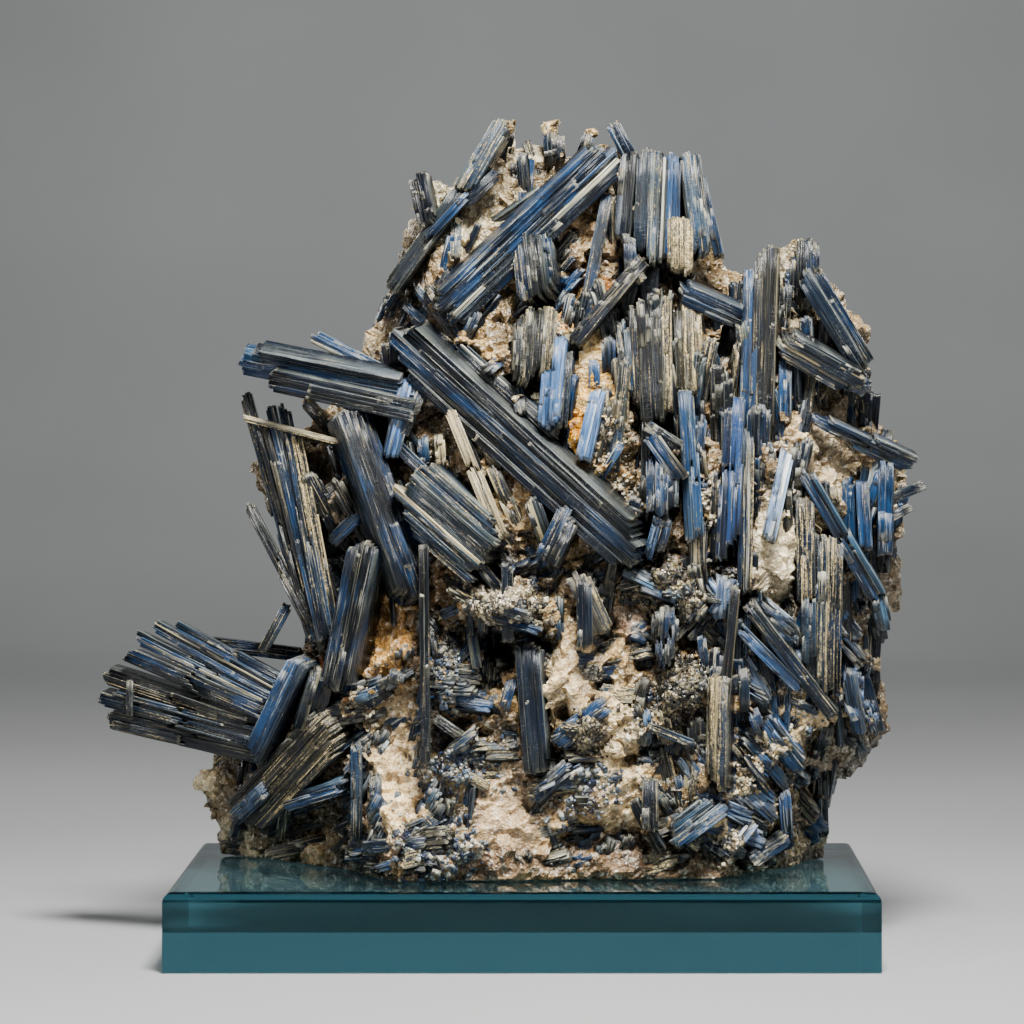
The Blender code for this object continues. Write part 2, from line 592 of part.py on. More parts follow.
def sheet_grid(loop, cell, rng):
    """Triangulated elevation: rim points first, then a jittered grid."""
    pts = list(loop)
    x, row = -175.0, 0
    while x < 205.0:
        z = 4.0 + (row % 2) * cell / 2
        while z < 425.0:
            px = x + rng.uniform(-0.3, 0.3) * cell
            pz = z + rng.uniform(-0.3, 0.3) * cell
            if inside(px, pz, MATRIX_OUTLINE) and rim_distance(px, pz, loop) > cell * 0.42:
                pts.append((px, pz))
            z += cell
        x += cell * 0.9
        row += 1
    n = len(loop)
    edges = [(i, (i + 1) % n) for i in range(n)]
    for _ in range(5):
        verts, _, faces, *_ = delaunay_2d_cdt([Vector(p) for p in pts], edges, [], 1, 1e-4)
        uses = {}
        for f in faces:
            for i, j in zip(f, list(f[1:]) + [f[0]]):
                uses[(min(i, j), max(i, j))] = uses.get((min(i, j), max(i, j)), 0) + 1
        chords = [e for e, k in uses.items() if k == 2 and e[0] < n and e[1] < n]
        if not chords:
            break
        for i, j in chords:
            pts.append(((verts[i].x + verts[j].x) / 2, (verts[i].y + verts[j].y) / 2))
    return verts, faces


def skin_y(skin, x, z):
    """Depth of the rock where the drawing line of (x, z) meets it."""
    near_end, far_end = place(x, z, -160.0) * MM, place(x, z, 120.0) * MM
    hit = skin.ray_cast(near_end, (far_end - near_end).normalized())[0]
    return None if hit is None else hit.y / MM


def rock(mat):
    rng = random.Random(41)
    loop = resample(MATRIX_OUTLINE, MATRIX_CELL)
    n = len(loop)
    bm = bmesh.new()
    rim = []
    for x, z in loop:
        rim.append(bm.verts.new(place(x, z, front_y(x, z) * 0.45 + back_y(x, z) * 0.55) * MM))
    for cell, far in ((MATRIX_CELL, False), (MATRIX_CELL * 2.0, True)):
        verts, faces = sheet_grid(loop, cell, rng)
        skin = list(rim)
        for p in verts[n:]:
            u = min(1.0, rim_distance(p.x, p.y, loop) / MATRIX_RIM)
            swell = math.sqrt(1.0 - (1.0 - u) ** 2)
            f0, b0 = front_y(p.x, p.y), back_y(p.x, p.y)
            mid = f0 * 0.45 + b0 * 0.55
            if far:
                y = mid + (b0 - mid) * swell + facet(p.x, p.y, 77) * 1.8 * u
            else:
                y = mid + (f0 - mid) * swell + (facet(p.x, p.y, 11) - relief(p.x, p.y)) * u
            skin.append(bm.verts.new(place(p.x, p.y, y) * MM))
        for f in faces:
            order = reversed(f) if far else f
            bm.faces.new([skin[i] for i in order])
    bmesh.ops.recalc_face_normals(bm, faces=bm.faces)
    bmesh.ops.bisect_plane(bm, geom=bm.verts[:] + bm.edges[:] + bm.faces[:],
                           plane_co=(0, 0, SEAT_Z * MM), plane_no=(0, 0, -1),
                           clear_outer=True)
    rim_edges = [e for e in bm.edges if len(e.link_faces) == 1]
    bmesh.ops.holes_fill(bm, edges=rim_edges, sides=0)
    bmesh.ops.recalc_face_normals(bm, faces=bm.faces)
    return add_object("quartz_matrix", bm, mat)


# ---- display block ---------------------------------------------------------
def block(mat):
    """Clear slab: sharp foot and uprights, rounded top edges with mitred corners."""
    rings = [(0.0, 0.0)]
    for k in range(BASE_TOP_STEPS + 1):
        turn = math.radians(90.0) * k / BASE_TOP_STEPS
        rings.append((BASE_TOP_RADIUS * (1.0 - math.cos(turn)),
                      BASE_HEIGHT - BASE_TOP_RADIUS * (1.0 - math.sin(turn))))
    bm = bmesh.new()
    loops = []
    for inset, z in rings:
        x, y = BASE_LENGTH / 2 - inset, BASE_DEPTH / 2 - inset
        loops.append([bm.verts.new(Vector((sx * x, sy * y, z)) * MM)
                      for sx, sy in ((-1, -1), (1, -1), (1, 1), (-1, 1))])
    for low, high in zip(loops, loops[1:]):
        for i in range(4):
            k = (i + 1) % 4
            bm.faces.new((low[i], low[k], high[k], high[i]))
    bm.faces.new(list(reversed(loops[0])))
    bm.faces.new(loops[-1])
    add_object("acrylic_base", bm, mat)


# ---- build -----------------------------------------------------------------
for ob in list(bpy.data.objects):
    bpy.data.objects.remove(ob)

acrylic = material("clear_acrylic", (0.80, 0.93, 0.93), 0.03, 1.0, 1.49)
quartz = material("quartz", (0.62, 0.53, 0.42), 0.55)
blue = material("kyanite_blue", (0.09, 0.20, 0.36), 0.32)

block(acrylic)

matrix = rock(quartz)
shape = bmesh.new()
shape.from_mesh(matrix.data)
skin = BVHTree.FromBMesh(shape)
shape.free()
for row in SMALL_BLADES:
    chip = add_object("chip", blade(row, 0.0, "small", skin), quartz)
    boolean(matrix, chip, "UNION")
    drop(chip)
clean(matrix, keep_largest=True)


def near(one, two):
    boxes = []
    for o in (one, two):
        co = [v.co for v in o.data.vertices]
        boxes.append(([min(c[i] for c in co) for i in range(3)],
                      [max(c[i] for c in co) for i in range(3)]))
    (lo0, hi0), (lo1, hi1) = boxes
    return all(lo0[i] < hi1[i] and lo1[i] < hi0[i] for i in range(3))


earlier = []
for name, rows in BLADES.items():
    body, reach = grown_group(name, rows, blue, "back" if name in BACK_GROUPS else "front")
    boolean(matrix, reach, "DIFFERENCE")
    for other_reach in earlier:
        if near(body, other_reach):
            boolean(body, other_reach, "DIFFERENCE")
    clean(body, keep_largest=True)
    earlier.append(reach)
for reach in earlier:
    drop(reach)
clean(matrix, keep_largest=True)

for ob in bpy.data.objects:
    for poly in ob.data.polygons:
        poly.use_smooth = False
count = {o.name: sum(len(p.vertices) - 2 for p in o.data.polygons)
         for o in bpy.data.objects}
print("nodes", len(count), "triangles", sum(count.values()), count)
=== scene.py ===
# Looks of the kyanite blade cluster: every CAD node is dressed with a detailed
# piece in the same place, and the clear block keeps its shape.
import math
import random
import bpy
import bmesh
import numpy as np
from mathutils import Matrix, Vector
from mathutils.bvhtree import BVHTree


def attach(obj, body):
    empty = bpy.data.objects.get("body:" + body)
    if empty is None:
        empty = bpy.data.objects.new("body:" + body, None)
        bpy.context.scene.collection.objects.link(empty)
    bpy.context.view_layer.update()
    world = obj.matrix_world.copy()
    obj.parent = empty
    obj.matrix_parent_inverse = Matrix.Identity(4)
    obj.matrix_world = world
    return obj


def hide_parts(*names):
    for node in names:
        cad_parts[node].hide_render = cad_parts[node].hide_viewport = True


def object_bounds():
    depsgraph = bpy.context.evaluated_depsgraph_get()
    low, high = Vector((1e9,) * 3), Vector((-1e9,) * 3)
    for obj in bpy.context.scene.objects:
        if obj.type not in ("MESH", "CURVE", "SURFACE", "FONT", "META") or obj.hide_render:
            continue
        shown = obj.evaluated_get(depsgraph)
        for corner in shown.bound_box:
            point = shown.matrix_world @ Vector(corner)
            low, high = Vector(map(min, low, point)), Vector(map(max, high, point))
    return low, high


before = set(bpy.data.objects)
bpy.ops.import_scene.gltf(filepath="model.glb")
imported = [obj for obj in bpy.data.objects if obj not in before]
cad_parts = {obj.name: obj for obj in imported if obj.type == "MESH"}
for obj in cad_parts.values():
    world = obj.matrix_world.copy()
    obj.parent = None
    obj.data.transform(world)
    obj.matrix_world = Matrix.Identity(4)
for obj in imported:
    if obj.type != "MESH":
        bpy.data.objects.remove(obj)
cad_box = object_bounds()
MM = 0.001

# ---- layout, in millimetres, the same as the solids' ------------------------
BASE_HEIGHT = 40.0
SHEET_Y = -100.0
STATION_X = 24.0
STATION_Z = 309.0
STATION_RANGE = 1905.0
SEAT_DEPTH = 3.0
SEAT_GROWTH = 1.5
# bulges of the rock in plan: y in the middle, change toward the rim, middle x,
# half width
MIDDLE_BULGE = (-60.0, 48.0, 30.0, 165.0)
TOP_BULGE = (-22.0, 14.0, 40.0, 120.0)
BACK_BULGE = (66.0, -26.0, 20.0, 170.0)
BACK_LEAN = 34.0
# heights where one shape begins to pass into the next, and over what height
LOW_BLEND = (40.0, 95.0)
HIGH_BLEND = (215.0, 215.0)
BACK_BLEND = (190.0, 230.0)

# outline of the rock on the elevation: (x, z)
MATRIX_OUTLINE = [
    (-30, 397), (-17, 409), (-8, 414), (6, 418), (27, 410), (40, 414), (59, 407),
    (83, 407), (89, 395), (96, 364), (106, 354), (118, 352), (129, 365), (139, 366),
    (149, 361), (156, 346), (167, 333), (175, 321), (172, 311), (178, 289),
    (184, 270), (193, 256), (192, 236), (190, 206), (193, 190), (184, 173),
    (178, 160), (180, 141), (186, 122), (173, 110), (166, 99), (156, 89),
    (153, 64), (150, 40), (140, 12), (40, 6), (-60, 6), (-120, 12), (-146, 44),
    (-154, 68), (-161, 84), (-165, 93), (-162, 103), (-152, 109), (-143, 116),
    (-125, 140), (-112, 156), (-107, 176), (-113, 205), (-126, 232), (-136, 250),
    (-130, 262), (-112, 271), (-97, 286), (-84, 305), (-78, 321), (-69, 343),
    (-61, 366), (-55, 386), (-49, 400)]

# where the rock's front meets the block: (x, y)
FOOT_LINE = [(-170, 70), (-150, 55), (-130, 24), (-106, 2), (-76, -45), (-60, -76),
             (-41, -78), (-30, -58), (99, -56), (119, -26), (146, -10), (156, 20),
             (200, 50)]

# bumps and hollows: (x, z, radius x, radius z, rise toward the display side)
RELIEF = [
    (-41, 382, 17, 22, 11), (-45, 356, 10, 12, 7), (-16, 372, 17, 16, 6),
    (3, 411, 9, 8, 5), (34, 365, 16, 34, -7), (134, 350, 7, 18, 8),
    (147, 316, 17, 15, 6), (156, 250, 17, 42, 7), (125, 209, 12, 22, 9),
    (97, 282, 9, 14, -5), (5, 283, 6, 9, 6), (-101, 246, 11, 20, -5),
    (-67, 168, 12, 27, 9), (-98, 99, 13, 10, -5), (-63, 101, 9, 34, 8),
    (-6, 76, 15, 25, 7), (24, 144, 15, 17, 6), (49, 107, 10, 28, 9),
    (86, 160, 9, 15, 7), (-9, 163, 13, 17, -15), (94, 321, 6, 10, -12),
    (164, 150, 6, 7, -9), (118, 141, 6, 5, -8), (42, 144, 4, 4, -7),
    (-92, 211, 7, 4, -9), (-100, 76, 13, 8, -11), (60, 222, 8, 9, 5),
    (80, 90, 16, 12, 6), (138, 110, 12, 16, 5), (-32, 205, 10, 12, 5)]

# a row a blade: sheet x and z of both ends, width (or the widths at both ends),
# thickness, how far each end stands off the rock (- = forward), roll, look.
# Looks: b clean blue, n navy, g dusty grey-blue, o olive weathered, c cream,
# d dark brown, w white-blue
BLADES = {
    "left_horizontal_blade": [
        (-141, 309, -46, 290, 14, 17, -24, -5, 30, "b"), (-127, 298, -50, 281, 11, 17, -25, -7, 10, "n"),
        (-105, 319, -66, 299, 7, 10, -8, -2, 0, "b")],
    "centre_diagonal_blade": [
        (-63.5, 321.5, 64, 206.5, 24, 18, -13, -13, 18, "n"),
        (-32.5, 314, 19, 268, 7, 14, -3, -2, 0, "g")],
    "top_diagonal_blade": [
        (46.5, 412, -41, 329, 21, 17, -9, -8, -16, "b"), (6, 368, -38.5, 325, 8, 14, -7, -4, 0, "g")],
    "top_left_long_blade": [
        (-8.5, 425.5, -30, 389, 10, 14, -2, -6, 12, "g"), (-28.5, 392, -66, 340.5, 9, 12, -5, -3, 8, "g"),
        (-26, 390, -48.5, 366, 4, 10, -9, -6, 0, "b"), (-11, 401, -30, 383, 6, 10, -8, -6, 0, "n")],
    "block_edge_blade": [(-52, 401, -46, 372, 10, 9, -7, -6, 20, "n")],
    "top_right_columns": [
        (54, 411, 50, 365, 8, 12, -3, -5, 10, "n"), (62, 412, 60, 359, 9, 13, -5, -6, 0, "n"),
        (69, 412.5, 66.5, 353, 9, 14, -6, -9, 0, "g"), (75, 411.5, 74, 356, 9, 13, -4, -6, 0, "b"),
        (83, 410.5, 89, 357, 10, 15, -4, -5, -14, "g"), (89, 400, 99, 357, 4.5, 12, -1, -3, 0, "n"),
        (79, 380, 79, 346.5, 13, 11, -11, -9, 0, "o")],
    "upright_block": [
        (5.5, 371, 10, 332, 20, 17, -9, -10, 12, "g"), (7, 336, 4, 291.5, 21, 18, -11, -11, -6, "o")],
    "leaning_splinter": [(43, 390, 30, 324, 6, 8, -6, -5, 0, "g")],
    "crossing_dark_blade": [
        (62.5, 358, 25.5, 314, 7, 9, -15, -12, 10, "d"), (53.5, 370, 54.5, 350, 6, 8, -13, -14, 0, "n"),
        (61, 352, 53, 346, 10, 7, -16, -15, 0, "d")],
    "right_lying_blade": [
        (78, 342, 112, 327, 11, 11, -12, -8, 16, "b"), (109, 330, 111.5, 311.5, 7, 9, -8, -4, 0, "g")],
    "central_columns": [
        (50, 324, 53, 286.5, 7, 10, -5, -5, 0, "g"), (58.5, 336.5, 61, 274, 11, 12, -6, -5, 0, "d"),
        (69, 341, 70, 275, 12, 14, -7, -7, 6, "o"), (82, 338, 84, 286.5, 14, 14, -6, -5, -6, "o"),
        (62, 280, 61.5, 236.5, 4, 9, -4, -2, 0, "g")],
    "tall_right_column": [
        (123, 365, 120, 270.5, 12, 15, -8, -6, 10, "d"), (115, 352.5, 112, 271.5, 8, 12, -4, -3, 0, "n")],
    "right_top_blade": [
        (143, 368.5, 143, 340, 11, 12, -7, -6, 0, "n"), (143, 343, 143, 331, 7, 9, -5, -4, 0, "g")],
    "right_dark_diagonals": [
        (140, 351.5, 171.5, 300, 8, 12, -12, -9, 12, "n"), (146, 351.5, 174, 304, 6, 11, -8, -6, 0, "n")],
    "right_cross_blade": [
        (128, 317.5, 170, 294, 15, 13, -13, -14, 14, "g"), (163, 297, 174, 291, 9, 10, -16, -15, 0, "b")],
    "right_low_diagonal": [(145, 278, 197, 253.5, (4, 13), 9, -7, -9, 20, "n")],
    "right_blue_blade": [
        (182, 256.5, 181.5, 207.5, 8, 10, -10, -9, 0, "b"),
        (201.5, 244.5, 182, 236, 5, 9, -8, -8, 0, "n"), (196, 234, 183, 227, 4, 8, -9, -8, 0, "n")],
    "long_right_splinter": [
        (140.5, 252.5, 179, 186.5, (6, 10), 8, -14, -11, 8, "b"),
        (177.5, 191, 181.5, 171.5, 8, 7, -10, -8, 0, "b")],
    "right_vertical_ribbons": [
        (151.5, 221.5, 150, 136.5, 18, 13, -7, -7, 0, "g"), (143, 190, 143, 154, 7, 12, -6, -6, 0, "b"),
        (141, 241, 142, 184, 9, 12, -6, -6, 0, "o")],
    "slanting_blade": [(133, 262, 123, 215.5, 7, 9, -8, -9, 0, "w")],
    "pointed_blade_short": [(81.5, 293, 86.5, 214, (7, 10), 10, -9, -9, 0, "b")],
    "pointed_blade_pair": [
        (107.5, 290.5, 103, 204, (9, 12), 13, -10, -9, 10, "w"),
        (112.5, 273.5, 111, 189, 7, 12, -7, -7, 0, "g")],
    "layered_block": [
        (60.5, 274.5, 80, 262.5, 6, 12, -14, -14, 0, "n"), (63, 270, 81, 245.5, 8, 12, -12, -13, 0, "n"),
        (70, 262, 70, 226.5, 16, 15, -9, -9, 0, "b"), (71.5, 231, 65, 205, 10, 13, -8, -7, 0, "b")],
    "bright_blue_upright": [
        (18, 319, 14, 270.5, 11, 9, -12, -12, 14, "w"), (23, 312, 20, 271.5, 5, 9, -9, -9, 0, "n")],
    "bright_blue_second": [(39, 292.5, 30.5, 255.5, 8, 8, -9, -10, 10, "w")],
    "pale_wedge": [(-36.5, 282.5, -10, 216.5, (5, 8), 8, -8, -9, 0, "c")],
    "upright_left_blade": [
        (-56, 297.5, -66, 256.5, 9, 9, -9, -9, 0, "w"), (-48.5, 294, -60, 268, 5, 8, -7, -8, 0, "g")],
    "steep_left_blade": [(-89.5, 287.5, -53.5, 185.5, 17.5, 15, -14, -12, -24, "n")],
    "olive_bundle": [
        (-61, 247.5, -8.5, 201.5, 35, 17, -15, -13, 6, "g"),
        (-63.5, 265, -11, 214, 6, 14, -5, -5, 0, "n")],
    "left_upright_fan": [
        (-138.5, 290.5, -103, 165, (5, 9), 9, -6, -2, 0, "g"),
        (-130, 275, -101, 160, (5, 10), 10, -9, -3, 6, "d"),
        (-126, 285, -98, 164, (4, 8), 10, -6, -2, 0, "n"),
        (-119.5, 286.5, -97, 165, (5, 9), 10, -8, -2, -8, "g"),
        (-113, 271.5, -94, 168, (5, 8), 10, -5, -1, 0, "o"),
        (-137, 235, -104, 172, (4, 8), 8, -8, -3, 0, "d"),
        (-139.5, 277.5, -90, 265, 3, 4, -13, -9, 0, "c")],
    "long_left_diagonal": [(-75, 219, -91, 140.5, 16, 15, -13, -10, 24, "n")],
    "front_left_diagonal": [(-107.5, 159, -133, 105, 10, 13, -11, -16, 24, "b")],
    "lower_mid_dark": [(-98.5, 154, -109, 119, 13, 12, -8, -9, -10, "n")],
    "lower_left_fan": [
        (-174.5, 174.5, -116, 143.5, (5, 8), 10, -6, -2, 0, "n"),
        (-184, 174.5, -119, 138.5, (5, 9), 12, -10, -3, 0, "n"),
        (-193.5, 169, -122, 134, (6, 9), 13, -14, -4, 0, "b"),
        (-197, 160, -126, 129, (7, 10), 14, -17, -5, 0, "n"),
        (-208, 150, -128, 124, (8, 10), 15, -19, -5, 12, "d"),
        (-210, 140, -124, 117, (8, 11), 16, -20, -5, 12, "g"),
        (-206, 128, -126, 110, (9, 11), 15, -18, -5, 12, "d"),
        (-196, 148, -196, 128, 3, 4, -27, -27, 0, "n"), (-117, 184, -130, 160, 5, 8, -2, -4, 0, "g")],
    "lower_left_striated": [
        (-90, 127.5, -139, 75, 25, 17, -12, -14, 12, "o"), (-128, 92, -143, 78, 8, 10, -20, -20, 0, "b")],
    "low_left_shelf": [
        (-84, 96, -117, 85.5, 8, 12, -9, -12, 0, "b"), (-82.5, 116.5, -82.5, 66, 5.5, 9, -8, -7, 0, "g"),
        (-117, 87, -120, 68, 6, 9, -8, -6, 0, "d")],
    "crust_stick": [(-49, 215.5, -48, 104, 4.5, 7, -21, -13, 0, "d")],
    "centre_blue_stub": [(26.5, 234, 11.5, 202.5, 12.5, 11, -8, -8, 10, "b")],
    "black_prism": [
        (31, 197, 31.5, 161.5, 7.5, 9, -10, -9, 0, "n"), (26.5, 201.5, 41.5, 169, 11, 8, -6, -6, 0, "c")],
    "dark_tooth": [(71.5, 185.5, 71.5, 150.5, (19, 5), 12, -9, -7, 0, "n")],
    "white_blue_burst": [
        (93, 196, 106, 177, 5, 8, -10, -9, 0, "w"), (107, 197, 94, 178, 5, 8, -11, -10, 0, "w"),
        (100, 200, 99, 176, 5, 8, -13, -11, 0, "w"), (92, 187, 108, 186, 5, 7, -12, -10, 0, "b")],
    "thin_stick": [(107, 194, 100.5, 126.5, 4.5, 5, -17, -9, 0, "d")],
    "lower_right_diagonals": [
        (112.5, 185.5, 156.5, 128.5, 7, 10, -9, -8, 10, "g"),
        (117.5, 183, 137, 167, 14, 8, -7, -6, 0, "w")],
    "lower_right_pale_blade": [(108, 173, 139, 141.5, 6, 8, -8, -7, 0, "w")],
    "olive_vertical_prism": [(99, 150.5, 98, 89, 11, 13, -9, -8, 18, "o")],
    "blue_slab": [(73, 66, 101, 87.5, 14, 9, -8, -9, 0, "b")],
    "dark_column": [(4, 166.5, 9, 99, 12, 13, -7, -7, 12, "n")],
    "low_right_shards": [
        (132, 69, 111, 55, 9, 10, -6, -7, 0, "g"), (131, 92, 133, 62, 6, 9, -5, -6, 0, "w")],
    # the side away from the display side
    "back_long_blade": [(-70, 330, 60, 190, 19, 16, 0, 0, 14, "b")],
    "back_cross_blade": [(110, 320, 20, 130, 16, 15, 0, 0, -12, "g")],
    "back_low_blade": [(-110, 150, 30, 95, 18, 15, 0, 0, 10, "o")],
    "back_upright_blade": [(120, 240, 135, 90, 15, 14, 0, 0, -8, "b")],
    "back_left_blade": [(-100, 275, -60, 170, 13, 13, 0, 0, 8, "n")]}

# the same without a roll
SMALL_BLADES = [
    (-58.5, 334, -36, 314, 4, 7, -3, -2, "g"), (-53, 343, -31, 314, 4, 7, -3, -2, "g"),
    (-47.5, 344.5, -27, 312, 5, 7, -4, -3, "g"), (-7, 426, -11, 404, 9, 9, 2, -1, "n"),
    (15.5, 426, 17, 402, 11, 10, 2, -2, "n"), (3, 408, 1.5, 384, 7, 9, -4, -4, "b"),
    (-32.5, 382, -33.5, 356, 5, 8, -8, -6, "g"), (45, 425.5, 57, 402, 7, 9, 0, 0, "b"),
    (34, 421, 29, 406, 6, 9, 2, 0, "n"), (170, 247, 172, 211, 6.5, 9, -6, -6, "b"),
    (121.5, 266, 126.5, 247.5, 6, 8, -4, -4, "n"), (131.5, 308, 131.5, 276.5, 6, 8, -4, -4, "b"),
    (155.5, 244, 157, 232.5, 4, 7, -4, -4, "c"), (49, 264, 36, 243, 4, 7, -4, -4, "w"),
    (43, 236, 60, 229, 4, 7, -4, -4, "b"), (-4, 311, -18, 301, 6, 8, -4, -4, "w"),
    (-3, 297, -1, 280.5, 6, 8, -7, -6, "w"), (-50, 268, -48.5, 251.5, 5.5, 8, -4, -5, "b"),
    (-41.5, 270, -40, 250, 5, 8, -4, -5, "c"), (-109.5, 287.5, -96, 272, 7, 8, -2, -3, "c"),
    (-157.5, 165, -108.5, 159, 7, 8, 4, 0, "g"), (-73, 100, -73, 80, 6, 8, -4, -4, "n"),
    (-7, 196, -6, 186, 8, 9, -6, -6, "g"), (4, 239, 13, 214, 8, 9, -5, -5, "g"),
    (110.5, 154, 111.5, 130.5, 5, 8, -4, -4, "n"), (114, 133.5, 119.5, 119.5, 6, 8, -4, -4, "b"),
    (64, 99, 64, 70, 8, 10, -6, -6, "d"), (62.5, 123.5, 87, 114, 4, 7, -6, -5, "g"),
    (-38.5, 152.5, -36, 136.5, 5, 8, -4, -4, "b"), (-4.5, 148, -9.5, 130.5, 5, 8, -4, -4, "b"),
    (-41, 178, -28, 185, 5, 8, -4, -4, "b"), (161.5, 141.5, 169, 125.5, 8, 9, -6, -6, "w"),
    (176, 160, 177, 141.5, 5, 8, -4, -4, "g"), (150, 99, 151, 67.5, 5, 8, -4, -4, "g"),
    (154, 124, 147, 107, 6, 8, -5, -5, "g"), (116.5, 76, 105, 61, 6, 8, -4, -4, "w"),
    (-58.5, 164, -59, 156, 9, 9, -6, -6, "b"), (-62.5, 152, -63, 144, 9, 9, -6, -6, "g"),
    (-71, 141.5, -84, 136.5, 5, 8, -4, -4, "b"), (-80, 230, -96, 215, 7, 9, -4, -3, "w"),
    (-86, 208, -98, 205.5, 4, 8, -4, -3, "b"), (8, 91, 32, 103, 6, 8, -4, -4, "w"),
    (-44, 128, -30, 118, 5, 8, -5, -5, "b"), (-38, 110, -22, 122, 5, 8, -4, -4, "g"),
    (-30, 100, -16, 92, 5, 8, -4, -4, "c"), (-26, 176, -22, 150, 5, 8, -3, -3, "g"),
    (-14, 185, 2, 178, 5, 8, -4, -4, "g")]

# each look: colours of the lamellae with their share (sRGB, share), colours of
# its bright lines, how dusty it is, how blue its patches are
PALETTE = {
    "b": ([(12, 33, 60, 4), (22, 54, 90, 3), (6, 11, 18, 3), (60, 92, 118, 1.2)],
          [(150, 160, 164), (188, 184, 160)], 0.32, 1.0),
    "n": ([(6, 9, 14, 4), (10, 20, 36, 3), (18, 38, 62, 2), (46, 62, 76, 0.8)],
          [(96, 102, 108), (150, 142, 116)], 0.26, 0.6),
    "g": ([(24, 38, 54, 3), (42, 58, 70, 2.4), (9, 13, 18, 3.8), (92, 98, 90, 1.2)],
          [(158, 156, 144), (186, 170, 130)], 0.56, 0.5),
    "o": ([(52, 50, 38, 3), (78, 71, 52, 2), (20, 20, 20, 3.4), (28, 36, 50, 1.4)],
          [(168, 154, 116), (196, 178, 132)], 0.82, 0.25),
    "c": ([(176, 160, 124, 2), (136, 124, 98, 2), (70, 68, 62, 2), (40, 46, 54, 1.4)],
          [(224, 210, 176), (198, 182, 144)], 0.85, 0.2),
    "d": ([(13, 13, 13, 4), (28, 26, 21, 3), (8, 9, 11, 3.6), (60, 54, 40, 1.2)],
          [(116, 104, 80), (150, 134, 96)], 0.38, 0.1),
    "w": ([(158, 174, 190, 2), (92, 122, 160, 2.6), (42, 74, 124, 2.6), (22, 38, 70, 1.6)],
          [(228, 228, 220), (206, 212, 212)], 0.34, 0.9)}

# width of one lamella in each look
LAMELLA = {"b": 1.5, "n": 1.6, "g": 1.2, "o": 1.15, "c": 1.4, "d": 1.4, "w": 1.3}

# rock colours by place: (x, z, radius x, radius z, sRGB, strength)
ROCK_ZONES = [
    (-41, 382, 18, 24, (245, 238, 222), 1.0), (-45, 356, 12, 14, (150, 128, 104), 0.8),
    (-16, 372, 20, 20, (222, 206, 178), 0.8), (3, 411, 12, 9, (240, 230, 214), 0.9),
    (34, 365, 20, 38, (186, 158, 124), 0.8), (134, 350, 9, 22, (244, 230, 204), 1.0),
    (147, 316, 20, 18, (222, 204, 178), 0.8), (156, 250, 22, 48, (218, 198, 172), 0.8),
    (125, 209, 14, 26, (236, 222, 200), 0.9), (97, 282, 10, 16, (120, 94, 70), 0.8),
    (5, 283, 8, 10, (240, 228, 208), 0.9), (-101, 246, 14, 24, (216, 190, 166), 0.8),
    (-67, 168, 14, 30, (214, 164, 92), 0.9), (-38, 190, 8, 14, (196, 146, 84), 0.7),
    (-98, 99, 16, 12, (206, 182, 150), 0.8), (-63, 101, 12, 38, (214, 190, 158), 0.8),
    (-6, 76, 18, 28, (196, 170, 144), 0.8), (24, 144, 18, 20, (226, 202, 168), 0.8),
    (49, 107, 12, 32, (226, 204, 172), 0.9), (56, 223, 9, 10, (206, 170, 126), 0.8),
    (55, 177, 9, 9, (172, 146, 138), 0.8), (86, 160, 11, 18, (176, 136, 88), 0.8),
    (-30, 56, 44, 9, (120, 92, 72), 0.8), (122, 72, 28, 24, (226, 204, 166), 0.9),
    (-150, 84, 17, 30, (74, 60, 44), 0.9), (-153, 74, 8, 12, (44, 28, 20), 1.0),
    (60, 56, 54, 12, (104, 82, 66), 0.8),
    (148, 118, 20, 26, (218, 194, 158), 0.9), (168, 152, 14, 24, (206, 182, 146), 0.8),
    (34, 288, 15, 36, (228, 200, 146), 0.9)]

# iron stains: (x, z, radius, sRGB, strength)
STAINS = [
    (27, 274, 10, (232, 160, 30), 1.0), (28, 260, 8, (236, 172, 48), 1.0),
    (39, 342, 5, (210, 132, 36), 0.9), (38, 292, 9, (230, 174, 70), 0.8),
    (54, 298, 8, (214, 160, 72), 0.6), (25, 328, 6, (206, 140, 54), 0.7),
    (-97, 169, 4, (196, 118, 30), 1.0), (-101, 155, 4, (192, 112, 28), 0.9),
    (-88, 139, 4, (190, 120, 40), 0.8), (-98, 124, 4, (196, 124, 44), 0.8),
    (-111, 115, 4, (200, 130, 50), 0.8), (44, 252, 6, (216, 164, 84), 0.6)]

# where small blades crowd the rock: sheet x0, z0, x1, z1, how many, mean lean
# from upright (+ = top to the right), how much the lean differs between
# clumps, length, width, looks, size of a clump
THICKETS = [
    (-72, 315, -2, 412, 34, 42, 18, (14, 40), (3, 8), "ggbnn", 30),
    (-4, 322, 60, 412, 48, 8, 20, (14, 42), (3, 8), "gobnd", 26),
    (44, 262, 106, 400, 64, 2, 5, (28, 80), (4, 10), "ogdngn", 30),
    (98, 270, 178, 362, 44, -4, 12, (20, 56), (3.5, 9), "gondn", 26),
    (88, 120, 196, 282, 96, 4, 9, (24, 72), (4, 11), "gbongn", 30),
    (16, 206, 92, 326, 74, 6, 11, (20, 60), (3, 9), "gcowbnd", 24),
    (-46, 44, 100, 206, 190, 0, 75, (12, 38), (5, 16), "gnodbbg", 20),
    (86, 46, 180, 190, 120, -32, 32, (14, 44), (4, 13), "gwwgcwb", 24),
    (-162, 42, -46, 170, 90, 42, 34, (14, 42), (4, 13), "gobdnb", 24),
    (-140, 165, -62, 290, 60, -16, 9, (26, 70), (3.5, 9), "gondn", 30),
    (-62, 165, 20, 300, 60, -30, 22, (16, 46), (3, 9), "gonbdn", 24)]

